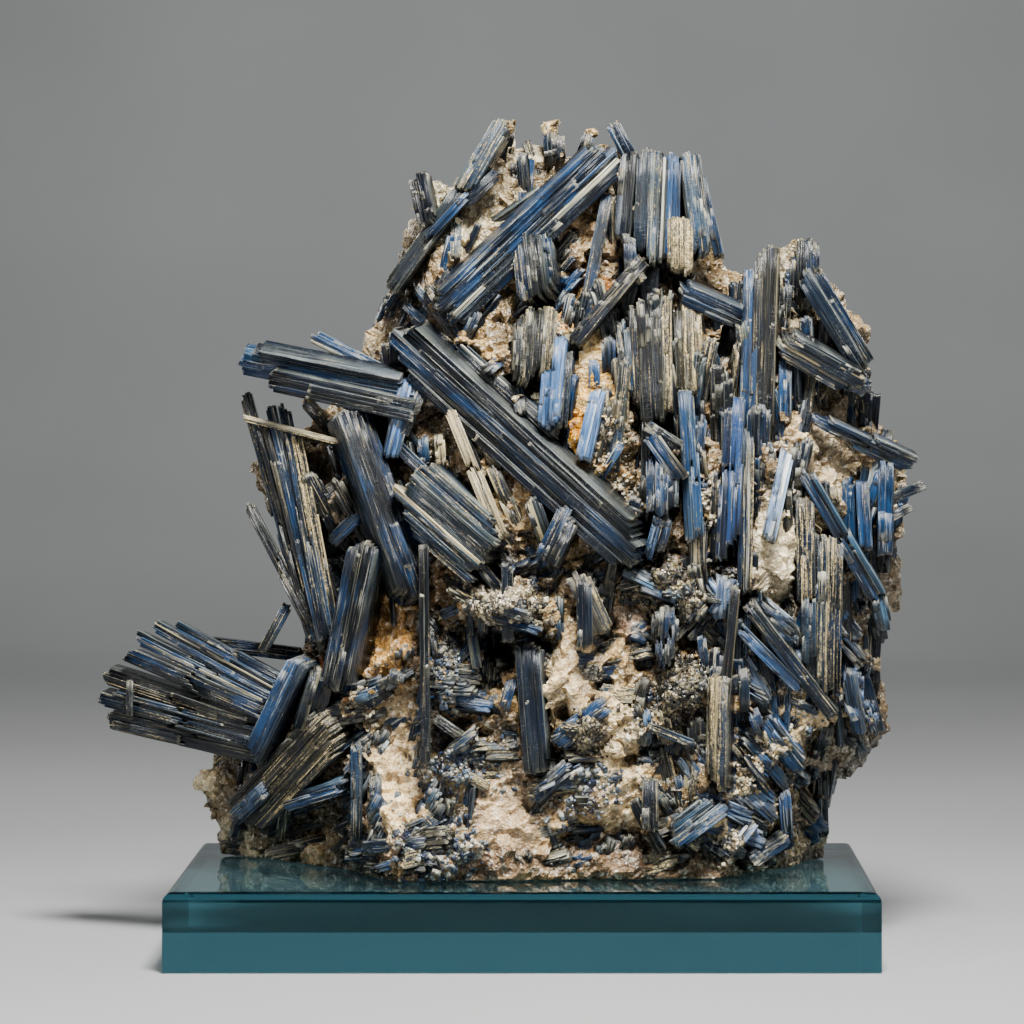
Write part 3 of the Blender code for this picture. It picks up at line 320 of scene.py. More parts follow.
# lumps of granular crust: sheet x, z, radius x, z, how far they stand out,
# how many crumbs, their size, colours
CREAM = ((196, 180, 146), (150, 136, 106), (96, 86, 68), (52, 54, 56), (222, 210, 184))
SOOTY = ((34, 32, 28), (66, 60, 48), (104, 94, 70), (18, 18, 19), (142, 130, 98))
BLUED = ((120, 130, 136), (62, 78, 100), (176, 172, 156), (28, 42, 66), (104, 98, 82))
LUMPS = [
    (-10, 184, 20, 12, 11, 950, 1.5, CREAM), (-2, 172, 12, 8, 8, 300, 1.4, SOOTY),
    (73, 194, 18, 12, 10, 800, 1.5, SOOTY), (86, 184, 10, 10, 6, 260, 1.4, CREAM),
    (81, 143, 13, 13, 8, 620, 1.5, SOOTY), (33, 119, 9, 9, 6, 420, 1.3, SOOTY),
    (-36, 148, 12, 20, 4, 420, 1.3, BLUED), (-33, 104, 18, 12, 4, 360, 1.3, BLUED),
    (126, 96, 20, 26, 4, 760, 1.3, CREAM), (108, 62, 22, 10, 4, 360, 1.4, CREAM),
    (-42, 62, 22, 14, 5, 520, 1.4, BLUED), (-120, 86, 24, 16, 4, 420, 1.3, CREAM),
    (30, 92, 18, 14, 3, 260, 1.3, BLUED), (64, 128, 14, 16, 3, 240, 1.2, CREAM),
    (-58, 230, 14, 20, 2, 200, 1.2, CREAM), (12, 318, 14, 10, 2, 180, 1.2, CREAM),
    (46, 262, 10, 30, 2, 320, 1.2, CREAM), (66, 240, 8, 12, 3, 200, 1.3, BLUED),
    (104, 196, 8, 8, 5, 220, 1.3, BLUED), (-86, 128, 14, 22, 2, 260, 1.3, CREAM),
    (96, 235, 8, 22, 2, 200, 1.2, CREAM), (150, 146, 22, 24, 3, 420, 1.3, BLUED)]

# dark hollows: sheet x, z, radius x, z, depth
HOLLOWS = [
    (-9, 163, 12, 9, 12), (8, 166, 6, 6, 8), (42, 170, 7, 8, 9), (86, 168, 8, 8, 8),
    (62, 156, 6, 10, 7), (42, 144, 5, 4, 7), (98, 150, 4, 5, 7), (110, 143, 4, 4, 7),
    (22, 128, 5, 5, 6), (12, 120, 5, 8, 6), (-28, 120, 14, 8, 6), (54, 106, 6, 4, 5),
    (68, 112, 10, 5, 6), (40, 66, 30, 7, 6), (84, 60, 22, 6, 5), (-92, 211, 8, 5, 9),
    (-100, 76, 14, 8, 9), (164, 150, 6, 8, 9), (94, 321, 6, 10, 9), (-60, 262, 8, 8, 8),
    (-20, 292, 12, 8, 7), (24, 340, 6, 12, 6), (52, 340, 5, 14, 7), (112, 228, 4, 12, 5),
    (-52, 196, 8, 14, 7), (-74, 205, 10, 8, 7), (142, 90, 6, 10, 5), (176, 206, 6, 8, 6),
    (-70, 292, 12, 5, 7), (-104, 216, 8, 18, 6), (14, 222, 10, 10, 6), (-46, 84, 8, 4, 5)]


def linear(rgb):
    out = []
    for v in rgb[:3]:
        v = v / 255.0
        out.append(v / 12.92 if v <= 0.04045 else ((v + 0.055) / 1.055) ** 2.4)
    return np.array(out)


# ---- the layout's own rules, as in the solids -------------------------------
def ease(v):
    v = min(1.0, max(0.0, v))
    return v * v * (3.0 - 2.0 * v)


def place(x, z, y):
    """Sheet point (x, z) pushed to depth y."""
    k = (STATION_RANGE + y - SHEET_Y) / STATION_RANGE
    return Vector((STATION_X + (x - STATION_X) * k, y, STATION_Z + (z - STATION_Z) * k))


def sheet_xz(p):
    """Back from a place in the round to its sheet point."""
    k = (STATION_RANGE + p[:, 1] - SHEET_Y) / STATION_RANGE
    return STATION_X + (p[:, 0] - STATION_X) / k, STATION_Z + (p[:, 2] - STATION_Z) / k


def bulge(x, y, change, middle, half):
    return y + change * ((x - middle) / half) ** 2


def blend(z, start, over):
    return ease((z - start) / over)


def front_y(x, z):
    foot = float(np.interp(x, [p[0] for p in FOOT_LINE], [p[1] for p in FOOT_LINE]))
    low = foot + (bulge(x, *MIDDLE_BULGE) - foot) * blend(z, *LOW_BLEND)
    return low + (bulge(x, *TOP_BULGE) - low) * blend(z, *HIGH_BLEND)


def back_y(x, z):
    return bulge(x, *BACK_BULGE) - BACK_LEAN * blend(z, *BACK_BLEND)


def oval(x, z, cx, cz, rx, rz):
    """0 in the middle of an oval, 1 on its edge, more outside it."""
    return ((x - cx) / rx) ** 2 + ((z - cz) / rz) ** 2


def relief(x, z):
    rise = 0.0
    for *shape, amount in RELIEF:
        q = oval(x, z, *shape)
        if q < 4.0:
            rise += amount * math.exp(-q * 1.2)
    return rise


def inside(x, z, loop):
    hit = False
    for (x0, z0), (x1, z1) in zip(loop, loop[1:] + loop[:1]):
        if (z0 > z) != (z1 > z) and x < x0 + (z - z0) * (x1 - x0) / (z1 - z0):
            hit = not hit
    return hit


def seated(row):
    """Thickness and end offsets of a blade: one that lies in front of the rock
    at both ends is made deeper, with its face kept, so that it grows out of it."""
    xa, za, xb, zb, _, t, da, db = row[:8]
    if inside(xa, za, MATRIX_OUTLINE) and inside(xb, zb, MATRIX_OUTLINE):
        deep = 2.0 * (max(-da, -db) + SEAT_DEPTH) - t
        deep = max(0.0, min(deep, (SEAT_GROWTH - 1.0) * t))
        t, da, db = t + deep, da + deep / 2, db + deep / 2
    return t, da, db


def clump(x, z, size, salt):
    """Repeatable numbers in 0..1 shared by all points of one clump."""
    best, value = 1e9, None
    ix, iz = math.floor(x / size), math.floor(z / size)
    for i in range(ix - 1, ix + 2):
        for j in range(iz - 1, iz + 2):
            r = random.Random((i * 73856093) ^ (j * 19349663) ^ salt)
            q = (x - (i + r.random()) * size) ** 2 + (z - (j + r.random()) * size) ** 2
            if q < best:
                best, value = q, (r.random(), r.random(), r.random())
    return value


BOX_MARGIN = 0.0001
BOX_LOW = np.array(cad_box[0]) + BOX_MARGIN
BOX_HIGH = np.array(cad_box[1]) - BOX_MARGIN

# ---- painted shade on deep places -------------------------------------------
ENVELOPE_CELL = 4.0
ENVELOPE_SHAPE = (116, 122)
ENVELOPE_LEFT = -244.0
ENVELOPE_EMPTY = 900.0
# painted shade: how far behind the envelope a point begins to darken, over what
# depth, how much light it loses there, and the height from which that light comes
RECESS_SHADE_START, RECESS_SHADE_DEPTH, RECESS_SHADE_LOSS, RECESS_SHADE_LIFT = 3.6, 15.0, 0.90, 6.0
DISPLAY_SIDE = 25.0


def envelope_cells(points, lift=0.0):
    ix = ((points[:, 0] - ENVELOPE_LEFT) / ENVELOPE_CELL).astype(int)
    iz = ((points[:, 2] + lift) / ENVELOPE_CELL).astype(int)
    return np.clip(iz, 0, ENVELOPE_SHAPE[0] - 1), np.clip(ix, 0, ENVELOPE_SHAPE[1] - 1)


def shifted(grid, reach):
    padded = np.pad(grid, reach, mode="edge")
    rows, columns = grid.shape
    return [padded[i:i + rows, j:j + columns]
            for i in range(2 * reach + 1) for j in range(2 * reach + 1)]


def front_envelope(clouds):
    """Smoothed front surface of everything, as a map of y over x and z."""
    grid = np.full(ENVELOPE_SHAPE, ENVELOPE_EMPTY)
    for points in clouds:
        np.minimum.at(grid, envelope_cells(points), points[:, 1])
    grid = np.min(shifted(grid, 1), axis=0)
    known = (grid < ENVELOPE_EMPTY).astype(float)
    total = np.sum(shifted(grid * known, 2), axis=0)
    return total / np.maximum(np.sum(shifted(known, 2), axis=0), 1.0)


def painted_recess_shade(points, envelope):
    """Painted shade factor: 1 on what stands out at the front, less for what lies deep behind it."""
    gap = points[:, 1] - envelope[envelope_cells(points, RECESS_SHADE_LIFT)]
    painted_shade = 1.0 - RECESS_SHADE_LOSS * np.clip((gap - RECESS_SHADE_START) / RECESS_SHADE_DEPTH, 0.0, 1.0)
    return np.where(points[:, 1] < DISPLAY_SIDE, painted_shade, 1.0)


# ---- a growing mesh with its colour and grain coordinates -------------------
def store(me, label, values):
    """Keep a colour ("tint") or a vector (any other label) for each point."""
    if label == "tint":
        att = me.attributes.new(label, "FLOAT_COLOR", "POINT")
        values = np.concatenate([values, np.ones((len(values), 1))], axis=1)
        att.data.foreach_set("color", values.astype(np.float32).ravel())
    else:
        att = me.attributes.new(label, "FLOAT_VECTOR", "POINT")
        att.data.foreach_set("vector", values.astype(np.float32).ravel())


class Pile:
    def __init__(self):
        self.parts = []
        self.count = 0

    def add(self, verts, faces, tint, flow, look):
        self.parts.append((verts, faces + self.count, tint, flow, look))
        self.count += len(verts)

    def points(self):
        return np.concatenate([part[0] for part in self.parts])

    def build(self, name, mat, envelope):
        """The finished piece, with painted shade and thinner dust where it lies deep."""
        verts, faces, tint, flow, look = map(np.concatenate, zip(*self.parts))
        painted_shade = painted_recess_shade(verts, envelope)
        # painted shade: a darker tint and less dust where the piece lies deep
        look[:, 0] *= 0.3 + 0.7 * painted_shade
        verts = np.clip(verts * MM, BOX_LOW, BOX_HIGH)
        me = bpy.data.meshes.new(name)
        me.vertices.add(len(verts))
        me.vertices.foreach_set("co", verts.astype(np.float32).ravel())
        me.loops.add(faces.size)
        me.loops.foreach_set("vertex_index", faces.astype(np.int32).ravel())
        me.polygons.add(len(faces))
        me.polygons.foreach_set("loop_start", np.arange(0, faces.size, 4, dtype=np.int32))
        me.update(calc_edges=True)
        me.validate()
        store(me, "tint", tint * painted_shade[:, None])
        store(me, "flow", flow)
        store(me, "look", look)
        me.materials.append(mat)
        ob = bpy.data.objects.new(name, me)
        bpy.context.scene.collection.objects.link(ob)
        return ob


def tube_faces(rings, n):
    """Quads of a closed tube of so many rings of n points, ends closed."""
    out = []
    for r in range(rings - 1):
        for i in range(n):
            j = (i + 1) % n
            out.append((r * n + i, r * n + j, (r + 1) * n + j, (r + 1) * n + i))
    last = (rings - 1) * n
    for k in range(1, n - 2, 2):
        out.append((0, k + 2, k + 1, k))
        out.append((last, last + k, last + k + 1, last + k + 2))
    return np.array(out)


# ---- kyanite blades ---------------------------------------------------------
SHORTEST_SLAT = 0.8
RING_SPACING = 8.0
END_RING = 2.2
# how far the rings of a lamella stray sideways and in height, and its ends slant
SWAY, RIPPLE, SLANT = 0.09, 0.10, 0.7
# base, gain, least and most of the dust, and of the painted light and shade, on a side
# by how it leans
DUST_BY_LEAN = (0.75, 0.6, 0.15, 1.3)
PAINTED_LIGHT_BY_LEAN = (0.82, 0.7, 0.12, 1.2)
# less dust, and painted shade, on the foot that lies against the rock
FOOT_DUST, PAINTED_FOOT_SHADE = 0.1, 0.22
# a plate's width, its shade, and the shade below which it counts as dark
PLATE_WIDTH = 6.5
SHADES = (0.30, 1.25, 0.75, 1.0, 0.45, 1.5, 0.9)
DARK_SHADE = 0.5
# least and most share of a plate in its blade and of a lamella in its plate
PLATE_SHARES, LAMELLA_SHARES = (0.5, 1.6), (0.3, 1.7)
# how a plate's level falls and its ends draw back toward the blade's edges
CROWN, BOW = 0.30, 0.30
OVERLAP = 0.16
LONGEST_CUT = 0.32
# draws below these give a groove, a pale line and a stray colour
GROOVE_DRAW, LINE_DRAW, STRAY_DRAW = 0.10, 0.16, 0.27
# blades longer than this carry more loose sheets
LONG_BLADE, LONG_SHEETS, SHORT_SHEETS = 30, 0.36, 0.2
GROOVE_TONE = linear((8, 11, 16))
RIM_TONE = linear((160, 168, 160))
END_TONE = linear((190, 184, 162))
FACE_CACHE = {}


def by_lean(lean, base, gain, least, most):
    return np.clip(base + gain * lean, least, most)


def slat(pile, axes, along, across, through, rng, tone, coat, uid, rim, end=0.55, tilt=0.0):
    """One cleavage lamella: a thin bar with pale bevelled edges and broken ends."""
    (a, d, side, face), (v0, v1), (u0, u1), (low, high) = axes, along, across, through
    dust, lined, blue = coat
    length = v1 - v0
    if length < SHORTEST_SLAT:
        return
    segs = max(2, min(12, int(length / RING_SPACING) + 1))
    rings = segs + 1
    if rings not in FACE_CACHE:
        FACE_CACHE[rings] = tube_faces(rings, 8)

    def draws(low_, high_):
        return np.array([rng.uniform(low_, high_) for _ in range(rings)])

    width, height = u1 - u0, high - low
    bevel = min(0.28, width * 0.16, height * 0.3)
    edge = min(0.22, width * 0.14)
    drop = rng.uniform(-0.05, 0.11) * min(1.2, height * 0.4) - tilt * width
    profile = np.array([(u0, low), (u0, high - bevel), (u0 + bevel, high),
                        (u0 + bevel + edge, high), (u1 - bevel - edge, high - drop),
                        (u1 - bevel, high - drop), (u1, high - drop - bevel), (u1, low)])
    s = np.linspace(0.0, 1.0, rings)
    if segs > 3:
        s[1] = min(0.4 * s[2], END_RING / length)
        s[-2] = max(1.0 - 0.4 * (1 - s[-3]), 1.0 - END_RING / length)
    u = profile[None, :, 0] + draws(-SWAY, SWAY)[:, None]
    t = profile[None, :, 1] + draws(-RIPPLE, RIPPLE)[:, None]
    v = v0 + s[:, None] * length + np.zeros((1, 8))
    slant0, slant1 = rng.uniform(-SLANT, SLANT), rng.uniform(-SLANT, SLANT)
    lean0, lean1 = rng.uniform(-0.5, 0.7), rng.uniform(-0.7, 0.5)
    off = profile - np.array([(u0 + u1) / 2, (low + high) / 2])
    v[0] += slant0 * off[:, 0] + lean0 * off[:, 1] * 0.5
    v[-1] += slant1 * off[:, 0] + lean1 * off[:, 1] * 0.5
    v = np.clip(v, v0, v1)
    for r in (0, -1):
        t[r] = low + (t[r] - low) * rng.uniform(0.55, 0.95)
    verts = (a[None, None, :] + v[..., None] * d + u[..., None] * side
             + t[..., None] * face).reshape(-1, 3)
    flow = np.stack([u + uid[0], v + uid[1], t + uid[2]], -1).reshape(-1, 3)
    tint = np.repeat(tone[None, :], rings * 8, 0).reshape(rings, 8, 3).copy()
    for i, amount in ((1, rim), (2, rim), (5, rim * 0.6), (6, rim * 0.6)):
        f = np.clip(amount * draws(0.2, 1.5), 0, 0.9)[:, None]
        tint[:, i] = tint[:, i] * (1 - f) + RIM_TONE * f
    for r in (0, rings - 1):
        f = end * rng.uniform(0.1, 1.0)
        tint[r] = tint[r] * (1 - f) + END_TONE * f
    # dust settles on what faces up or out; sides that look up are painted lighter, low
    # sides darker as painted shade, and the foot against the rock gets painted shade
    lean = np.array([-side[2], -side[2], -side[2] * 0.5 + face[2] * 0.5, face[2], face[2],
                     face[2] * 0.5 + side[2] * 0.5, side[2], side[2]])
    settle = by_lean(lean, *DUST_BY_LEAN)
    settle[[0, 7]] *= FOOT_DUST
    look = np.zeros((rings, 8, 3))
    look[:, :, 0] = dust * settle[None]
    look[:, :, 1] = lined
    look[:, :, 2] = blue
    # painted light and shade by how a side leans, and painted shade on the foot
    tint *= by_lean(lean, *PAINTED_LIGHT_BY_LEAN)[None, :, None]
    tint[:, (0, 7)] *= PAINTED_FOOT_SHADE
    pile.add(verts, FACE_CACHE[rings], tint.reshape(-1, 3), flow, look.reshape(-1, 3))


def pick(palette, rng):
    """One colour of a palette, drawn by its share."""
    q = rng.random() * sum(p[3] for p in palette)
    for p in palette:
        q -= p[3]
        if q <= 0:
            return linear(p)
    return linear(palette[0])


def divided(count, low, high, rng):
    """Borders of a run of so many parts, each between low and high in share."""
    cuts = [0.0]
    for _ in range(count):
        cuts.append(cuts[-1] + rng.uniform(low, high))
    return cuts


def dress_blade(pile, a, b, side, face, wa, wb, t, look, rng, ragged=1.0, fine=1.0):
    """A kyanite blade: a few stepped plates, each with a finely lined face that
    may slope and may be much darker than its neighbour."""
    a, b = np.array(a), np.array(b)
    length = float(np.linalg.norm(b - a))
    axes = (a, (b - a) / length, np.array(side), np.array(face))
    palette, lines, dust, blue = PALETTE[look]
    w = max(wa, wb)
    plates = max(1, int(round(w / PLATE_WIDTH + rng.uniform(-0.4, 0.5))))
    cuts = divided(plates, *PLATE_SHARES, rng)
    cuts = [-0.5 + c / cuts[-1] for c in cuts]
    uid = [rng.uniform(0, 500) for _ in range(3)]
    main = pick(palette, rng)
    cut0, cut1 = rng.uniform(-0.5, 0.5) * w, rng.uniform(-0.5, 0.5) * w
    stagger = min(0.16 * length, 0.7 * w + 1.5) * ragged
    slope = (wb - wa) / length
    step = min(0.22 * t, 3.0)
    short = [[stagger * rng.random() ** 1.6 + ragged * (lie * cut + abs(cut) / 2)
              for lie in cuts[:-1]] for cut in (cut0, cut1)]
    short = [[value - min(ends) for value in ends] for ends in short]
    shades = list(SHADES)
    rng.shuffle(shades)
    for p in range(plates):
        f0, f1 = cuts[p], cuts[p + 1]
        shade = shades[p % len(shades)]
        crown = 1.0 - CROWN * abs(f0 + f1) ** 3
        tilt = rng.uniform(-0.5, 0.5) if plates > 1 else rng.uniform(-0.2, 0.2)
        rise = abs(tilt) * (f1 - f0) * w / 2
        level = 0.5 * t * crown - min(rise, 0.3 * t) - step * rng.random() ** 1.3
        plate_tone = (main * 0.5 + pick(palette, rng) * 0.5) * shade
        lined = 0.2 if shade < DARK_SHADE else 1.0
        plate_dust = dust * (0.4 if shade < DARK_SHADE else rng.uniform(0.75, 1.3))
        count = max(2, int(round((f1 - f0) * w / (LAMELLA[look] / fine))))
        inner = divided(count, *LAMELLA_SHARES, rng)
        inner = [f0 + (f1 - f0) * c / inner[-1] for c in inner]
        drift = 0.0
        for i in range(count):
            g0, g1 = inner[i], inner[i + 1]
            lap = OVERLAP * (g1 - g0)
            drift = max(-0.22, min(0.08, drift + rng.uniform(-0.06, 0.06)))
            outer = i in (0, count - 1)
            groove = rng.uniform(0.3, 0.8) if rng.random() < GROOVE_DRAW else 0.0
            rest = rng.uniform(0.1, 0.5) if outer else groove
            high = level + drift - rest + tilt * (g0 - lap - (f0 + f1) / 2) * w
            high = min(high, 0.5 * t)
            q = rng.random()
            tone = plate_tone * rng.uniform(0.80, 1.22)
            if groove or q < GROOVE_DRAW:
                tone = plate_tone * 0.25 + GROOVE_TONE * 0.75
            elif q < LINE_DRAW:
                tone = linear(lines[rng.randrange(2)]) * rng.uniform(0.5, 1.05)
            elif q < STRAY_DRAW:
                tone = pick(palette, rng)
            s0 = short[0][p] + rng.expovariate(1.0) * 0.6 * ragged
            s1 = short[1][p] + rng.expovariate(1.0) * 0.6 * ragged
            lie = (g0 + g1 - f0 - f1) / 2
            bow = BOW * w * abs(g0 + g1) ** 2.2 * ragged
            s0 = min(max(0.0, s0 + ragged * lie * cut0 + bow), LONGEST_CUT * length)
            s1 = min(max(0.0, s1 + ragged * lie * cut1 + bow), LONGEST_CUT * length)
            spans = [(s0, length - s1)]
            if abs(wa - wb) > 1.5:
                mid = (s0 + length - s1) / 2 + rng.uniform(-0.1, 0.1) * length
                spans = [(s0, mid), (mid, length - s1)]
            for span in spans:
                wm = wa + slope * (span[0] + span[1]) / 2
                slat(pile, axes, span, ((g0 - lap) * wm, (g1 + lap) * wm),
                     (-0.5 * t * crown, high), rng, tone,
                     (plate_dust * rng.uniform(0.7, 1.3), lined, blue), uid,
                     0.22 if outer else 0.04, tilt=tilt)
            # cleavage sheets left standing on part of its length
            if rng.random() < (LONG_SHEETS if length > LONG_BLADE else SHORT_SHEETS):
                p0 = rng.uniform(s0, length * 0.7)
                p1 = min(length - s1, p0 + rng.uniform(0.15, 0.6) * length)
                last = min(count, i + rng.choice((2, 3, 4)))
                wm = wa + slope * (p0 + p1) / 2
                top = min(high + rng.uniform(0.25, 0.8), 0.5 * t)
                for j in range(i, last):
                    rise = tilt * (inner[j] - inner[i]) * w
                    slat(pile, axes, (p0 + rng.random() * 2, p1 - rng.random() * 2),
                         (inner[j] * wm, (inner[j + 1] + 0.1 * (g1 - g0)) * wm),
                         (high - 1.4 + rise, min(top + rise, 0.5 * t)), rng,
                         plate_tone * rng.uniform(0.8, 1.35),
                         (plate_dust * rng.uniform(0.6, 1.3), lined, blue), uid,
                         0.2 if j == i else 0.03, 0.8, tilt)


TOWARD_FRONT = Vector((0, -1, 0))
TOWARD_BACK = Vector((0, 1, 0))


def blade_axes(a, b, roll, view):
    d = (b - a).normalized()
    face = (view - d * view.dot(d)).normalized()
    side = d.cross(face)
    c, s = math.cos(math.radians(roll)), math.sin(math.radians(roll))
    return side * c - face * s, face * c + side * s


def dress_row(pile, row, seed, at_back):
    xa, za, xb, zb, w, t, da, db, roll, look = row
    wa, wb = w if isinstance(w, tuple) else (w, w)
    if at_back:
        a = place(xa, za, back_y(xa, za) - 2.0)
        b = place(xb, zb, back_y(xb, zb) - 2.0)
    else:
        t, da, db = seated(row)
        a = place(xa, za, front_y(xa, za) - relief(xa, za) * 0.6 + da)
        b = place(xb, zb, front_y(xb, zb) - relief(xb, zb) * 0.6 + db)
    side, face = blade_axes(a, b, roll, TOWARD_BACK if at_back else TOWARD_FRONT)
    dress_blade(pile, a, b, side, face, wa, wb, t, look, random.Random(seed))


CRUMB_FACES = np.array([(0, 1, 3, 2), (4, 6, 7, 5), (0, 4, 5, 1), (2, 3, 7, 6),
                        (0, 2, 6, 4), (1, 5, 7, 3)])
CRUMB_BOX = np.array([(x, y, z) for x in (-1, 1) for y in (-1, 1) for z in (-1, 1)], float)
CRUMB_DUST = 0.4


def crumb(pile, centre, size, colours, rng):
    """One grain of crust: a small broken block set in the rock."""
    r = size * rng.uniform(0.35, 1.1)
    box = CRUMB_BOX * np.array([rng.uniform(0.5, 1.0), rng.uniform(0.5, 1.0),
                                rng.uniform(0.5, 1.7)]) * r
    box += np.array([[rng.uniform(-0.32, 0.32) * r for _ in range(3)] for _ in range(8)])
    axis = Vector((rng.gauss(0, 1), rng.gauss(0, 1), rng.gauss(0, 1))).normalized()
    verts = box @ np.array(axis.to_track_quat("Z", "Y").to_matrix()).T + np.array(centre)
    tone = linear(colours[rng.randrange(len(colours))]) * rng.uniform(0.7, 1.2)
    pile.add(verts, CRUMB_FACES, np.repeat(tone[None], 8, 0), verts,
             np.repeat(np.array([[CRUMB_DUST, rng.random(), 0.3]]), 8, 0))


# ---- materials --------------------------------------------------------------
class Shader:
    """A material under construction, with a short call for each kind of node."""
    def __init__(self, name):
        self.material = bpy.data.materials.new(name)
        self.material.use_nodes = True
        self.tree = self.material.node_tree
        self.tree.nodes.clear()
        self.out = self.new("OutputMaterial")
        self.body = self.new("BsdfPrincipled")
        self.feed(self.body.outputs[0], self.out.inputs["Surface"])

    def new(self, kind, **values):
        n = self.tree.nodes.new("ShaderNode" + kind)
        for key, value in values.items():
            if key in n.inputs:
                n.inputs[key].default_value = value
            else:
                setattr(n, key, value)
        return n

    def feed(self, value, socket):
        """Link an output to a socket, or set the socket to a number or colour."""
        if isinstance(value, bpy.types.NodeSocket):
            self.tree.links.new(value, socket)
        elif isinstance(value, (int, float)):
            socket.default_value = value
        else:
            socket.default_value = (*value, 1.0)

    def math(self, operation, one, two, clamp=False):
        m = self.new("Math", operation=operation, use_clamp=clamp)
        self.feed(one, m.inputs[0])
        self.feed(two, m.inputs[1])
        return m.outputs[0]

    def times(self, value, *terms):
        for term in terms:
            value = self.math("MULTIPLY", value, term)
        return value

    def plus(self, value, *terms):
        for term in terms:
            value = self.math("ADD", value, term)
        return value

    def mix(self, amount, one, two, mode="MIX"):
        m = self.new("Mix", data_type="RGBA", blend_type=mode)
        for k, value in ((0, amount), (6, one), (7, two)):
            self.feed(value, m.inputs[k])
        return m.outputs[2]

    def ramp(self, source, *stops):
        """Colour ramp; a stop is a position and a grey level or a colour."""
        r = self.new("ValToRGB")
        elements = r.color_ramp.elements
        while len(elements) < len(stops):
            elements.new(0.5)
        for item, (position, colour) in zip(elements, stops):
            item.position = position
            item.color = (*np.broadcast_to(colour, 3), 1.0)
        self.feed(source, r.inputs["Fac"])
        return r.outputs[0]

    def mask(self, source, low, high):
        return self.ramp(source, (low, 0.0), (high, 1.0))

    def noise(self, vector, scale, detail, rough=0.5):
        n = self.new("TexNoise", Scale=scale, Detail=detail, Roughness=rough)
        self.feed(vector, n.inputs["Vector"])
        return n.outputs["Fac"]

    def bump(self, height, strength, distance):
        n = self.new("Bump", Strength=strength, Distance=distance)
        self.feed(height, n.inputs["Height"])
        self.feed(n.outputs[0], self.body.inputs["Normal"])


def kyanite_material():
    m = Shader("kyanite")
    tint, flow, look = (m.new("Attribute", attribute_name=k) for k in ("tint", "flow", "look"))
    split = m.new("SeparateXYZ")
    m.feed(look.outputs["Vector"], split.inputs[0])
    dust, lined, blue = split.outputs

    def grain(across, along, detail, rough=0.6):
        """Noise that is stretched along the blade."""
        scaled = m.new("Mapping")
        scaled.inputs["Scale"].default_value = (across, along, across)
        m.feed(flow.outputs["Vector"], scaled.inputs["Vector"])
        return m.noise(scaled.outputs[0], 1.0, detail, rough)

    band = grain(0.30, 0.018, 3.0)
    streak = grain(0.80, 0.025, 3.0)
    hair = grain(1.30, 0.030, 2.0)
    blotch = grain(0.11, 0.035, 3.0)
    gather = grain(0.05, 0.025, 2.0)
    speck = grain(1.5, 1.2, 3.0, 0.7)
    grit = grain(0.62, 0.40, 5.0, 0.8)
    cross = grain(0.16, 0.80, 2.0)

    col = tint.outputs["Color"]
    col = m.mix(m.times(m.mask(band, 0.53, 0.60), 0.62), col, (0.0045, 0.006, 0.011))
    col = m.mix(m.times(m.mask(blotch, 0.47, 0.59), blue, lined, 0.7), col, linear((18, 54, 92)))
    col = m.mix(m.times(m.mask(streak, 0.54, 0.60), 0.85), col, (0.004, 0.005, 0.010))
    bright = m.mix(blue, linear((190, 172, 130)), linear((164, 174, 178)))
    zone = m.plus(m.times(m.mask(gather, 0.44, 0.60), 0.8), 0.2)
    col = m.mix(m.times(m.mask(hair, 0.59, 0.63), zone, lined, 0.6), col, bright)
    crack = m.ramp(cross, (0.494, 0.0), (0.5, 1.0), (0.506, 0.0))
    col = m.mix(m.times(crack, m.mask(gather, 0.48, 0.56), 0.6), col, linear((150, 158, 164)))
    # crust of quartz grains and brown clay on the weathered blades
    crust = m.mix(m.mask(speck, 0.40, 0.60), linear((64, 54, 38)), linear((222, 200, 148)))
    drift = m.plus(m.times(grit, 0.5), m.times(hair, 0.5))
    limit = m.math("SUBTRACT", 0.63, m.times(dust, 0.20))
    amount = m.times(m.math("SUBTRACT", drift, limit), 13.0)
    amount = m.math("MULTIPLY", amount, 0.9, clamp=True)
    m.feed(m.mix(amount, col, crust), m.body.inputs["Base Color"])
    rough = m.plus(m.times(amount, 0.42), m.times(streak, 0.3), 0.12)
    m.feed(rough, m.body.inputs["Roughness"])
    height = m.plus(m.times(hair, 0.7), streak, m.times(amount, 0.5), m.times(speck, 0.3))
    m.bump(height, 0.7, 0.0008)
    m.body.inputs["Specular IOR Level"].default_value = 0.17
    m.body.inputs["IOR"].default_value = 1.72
    return m.material


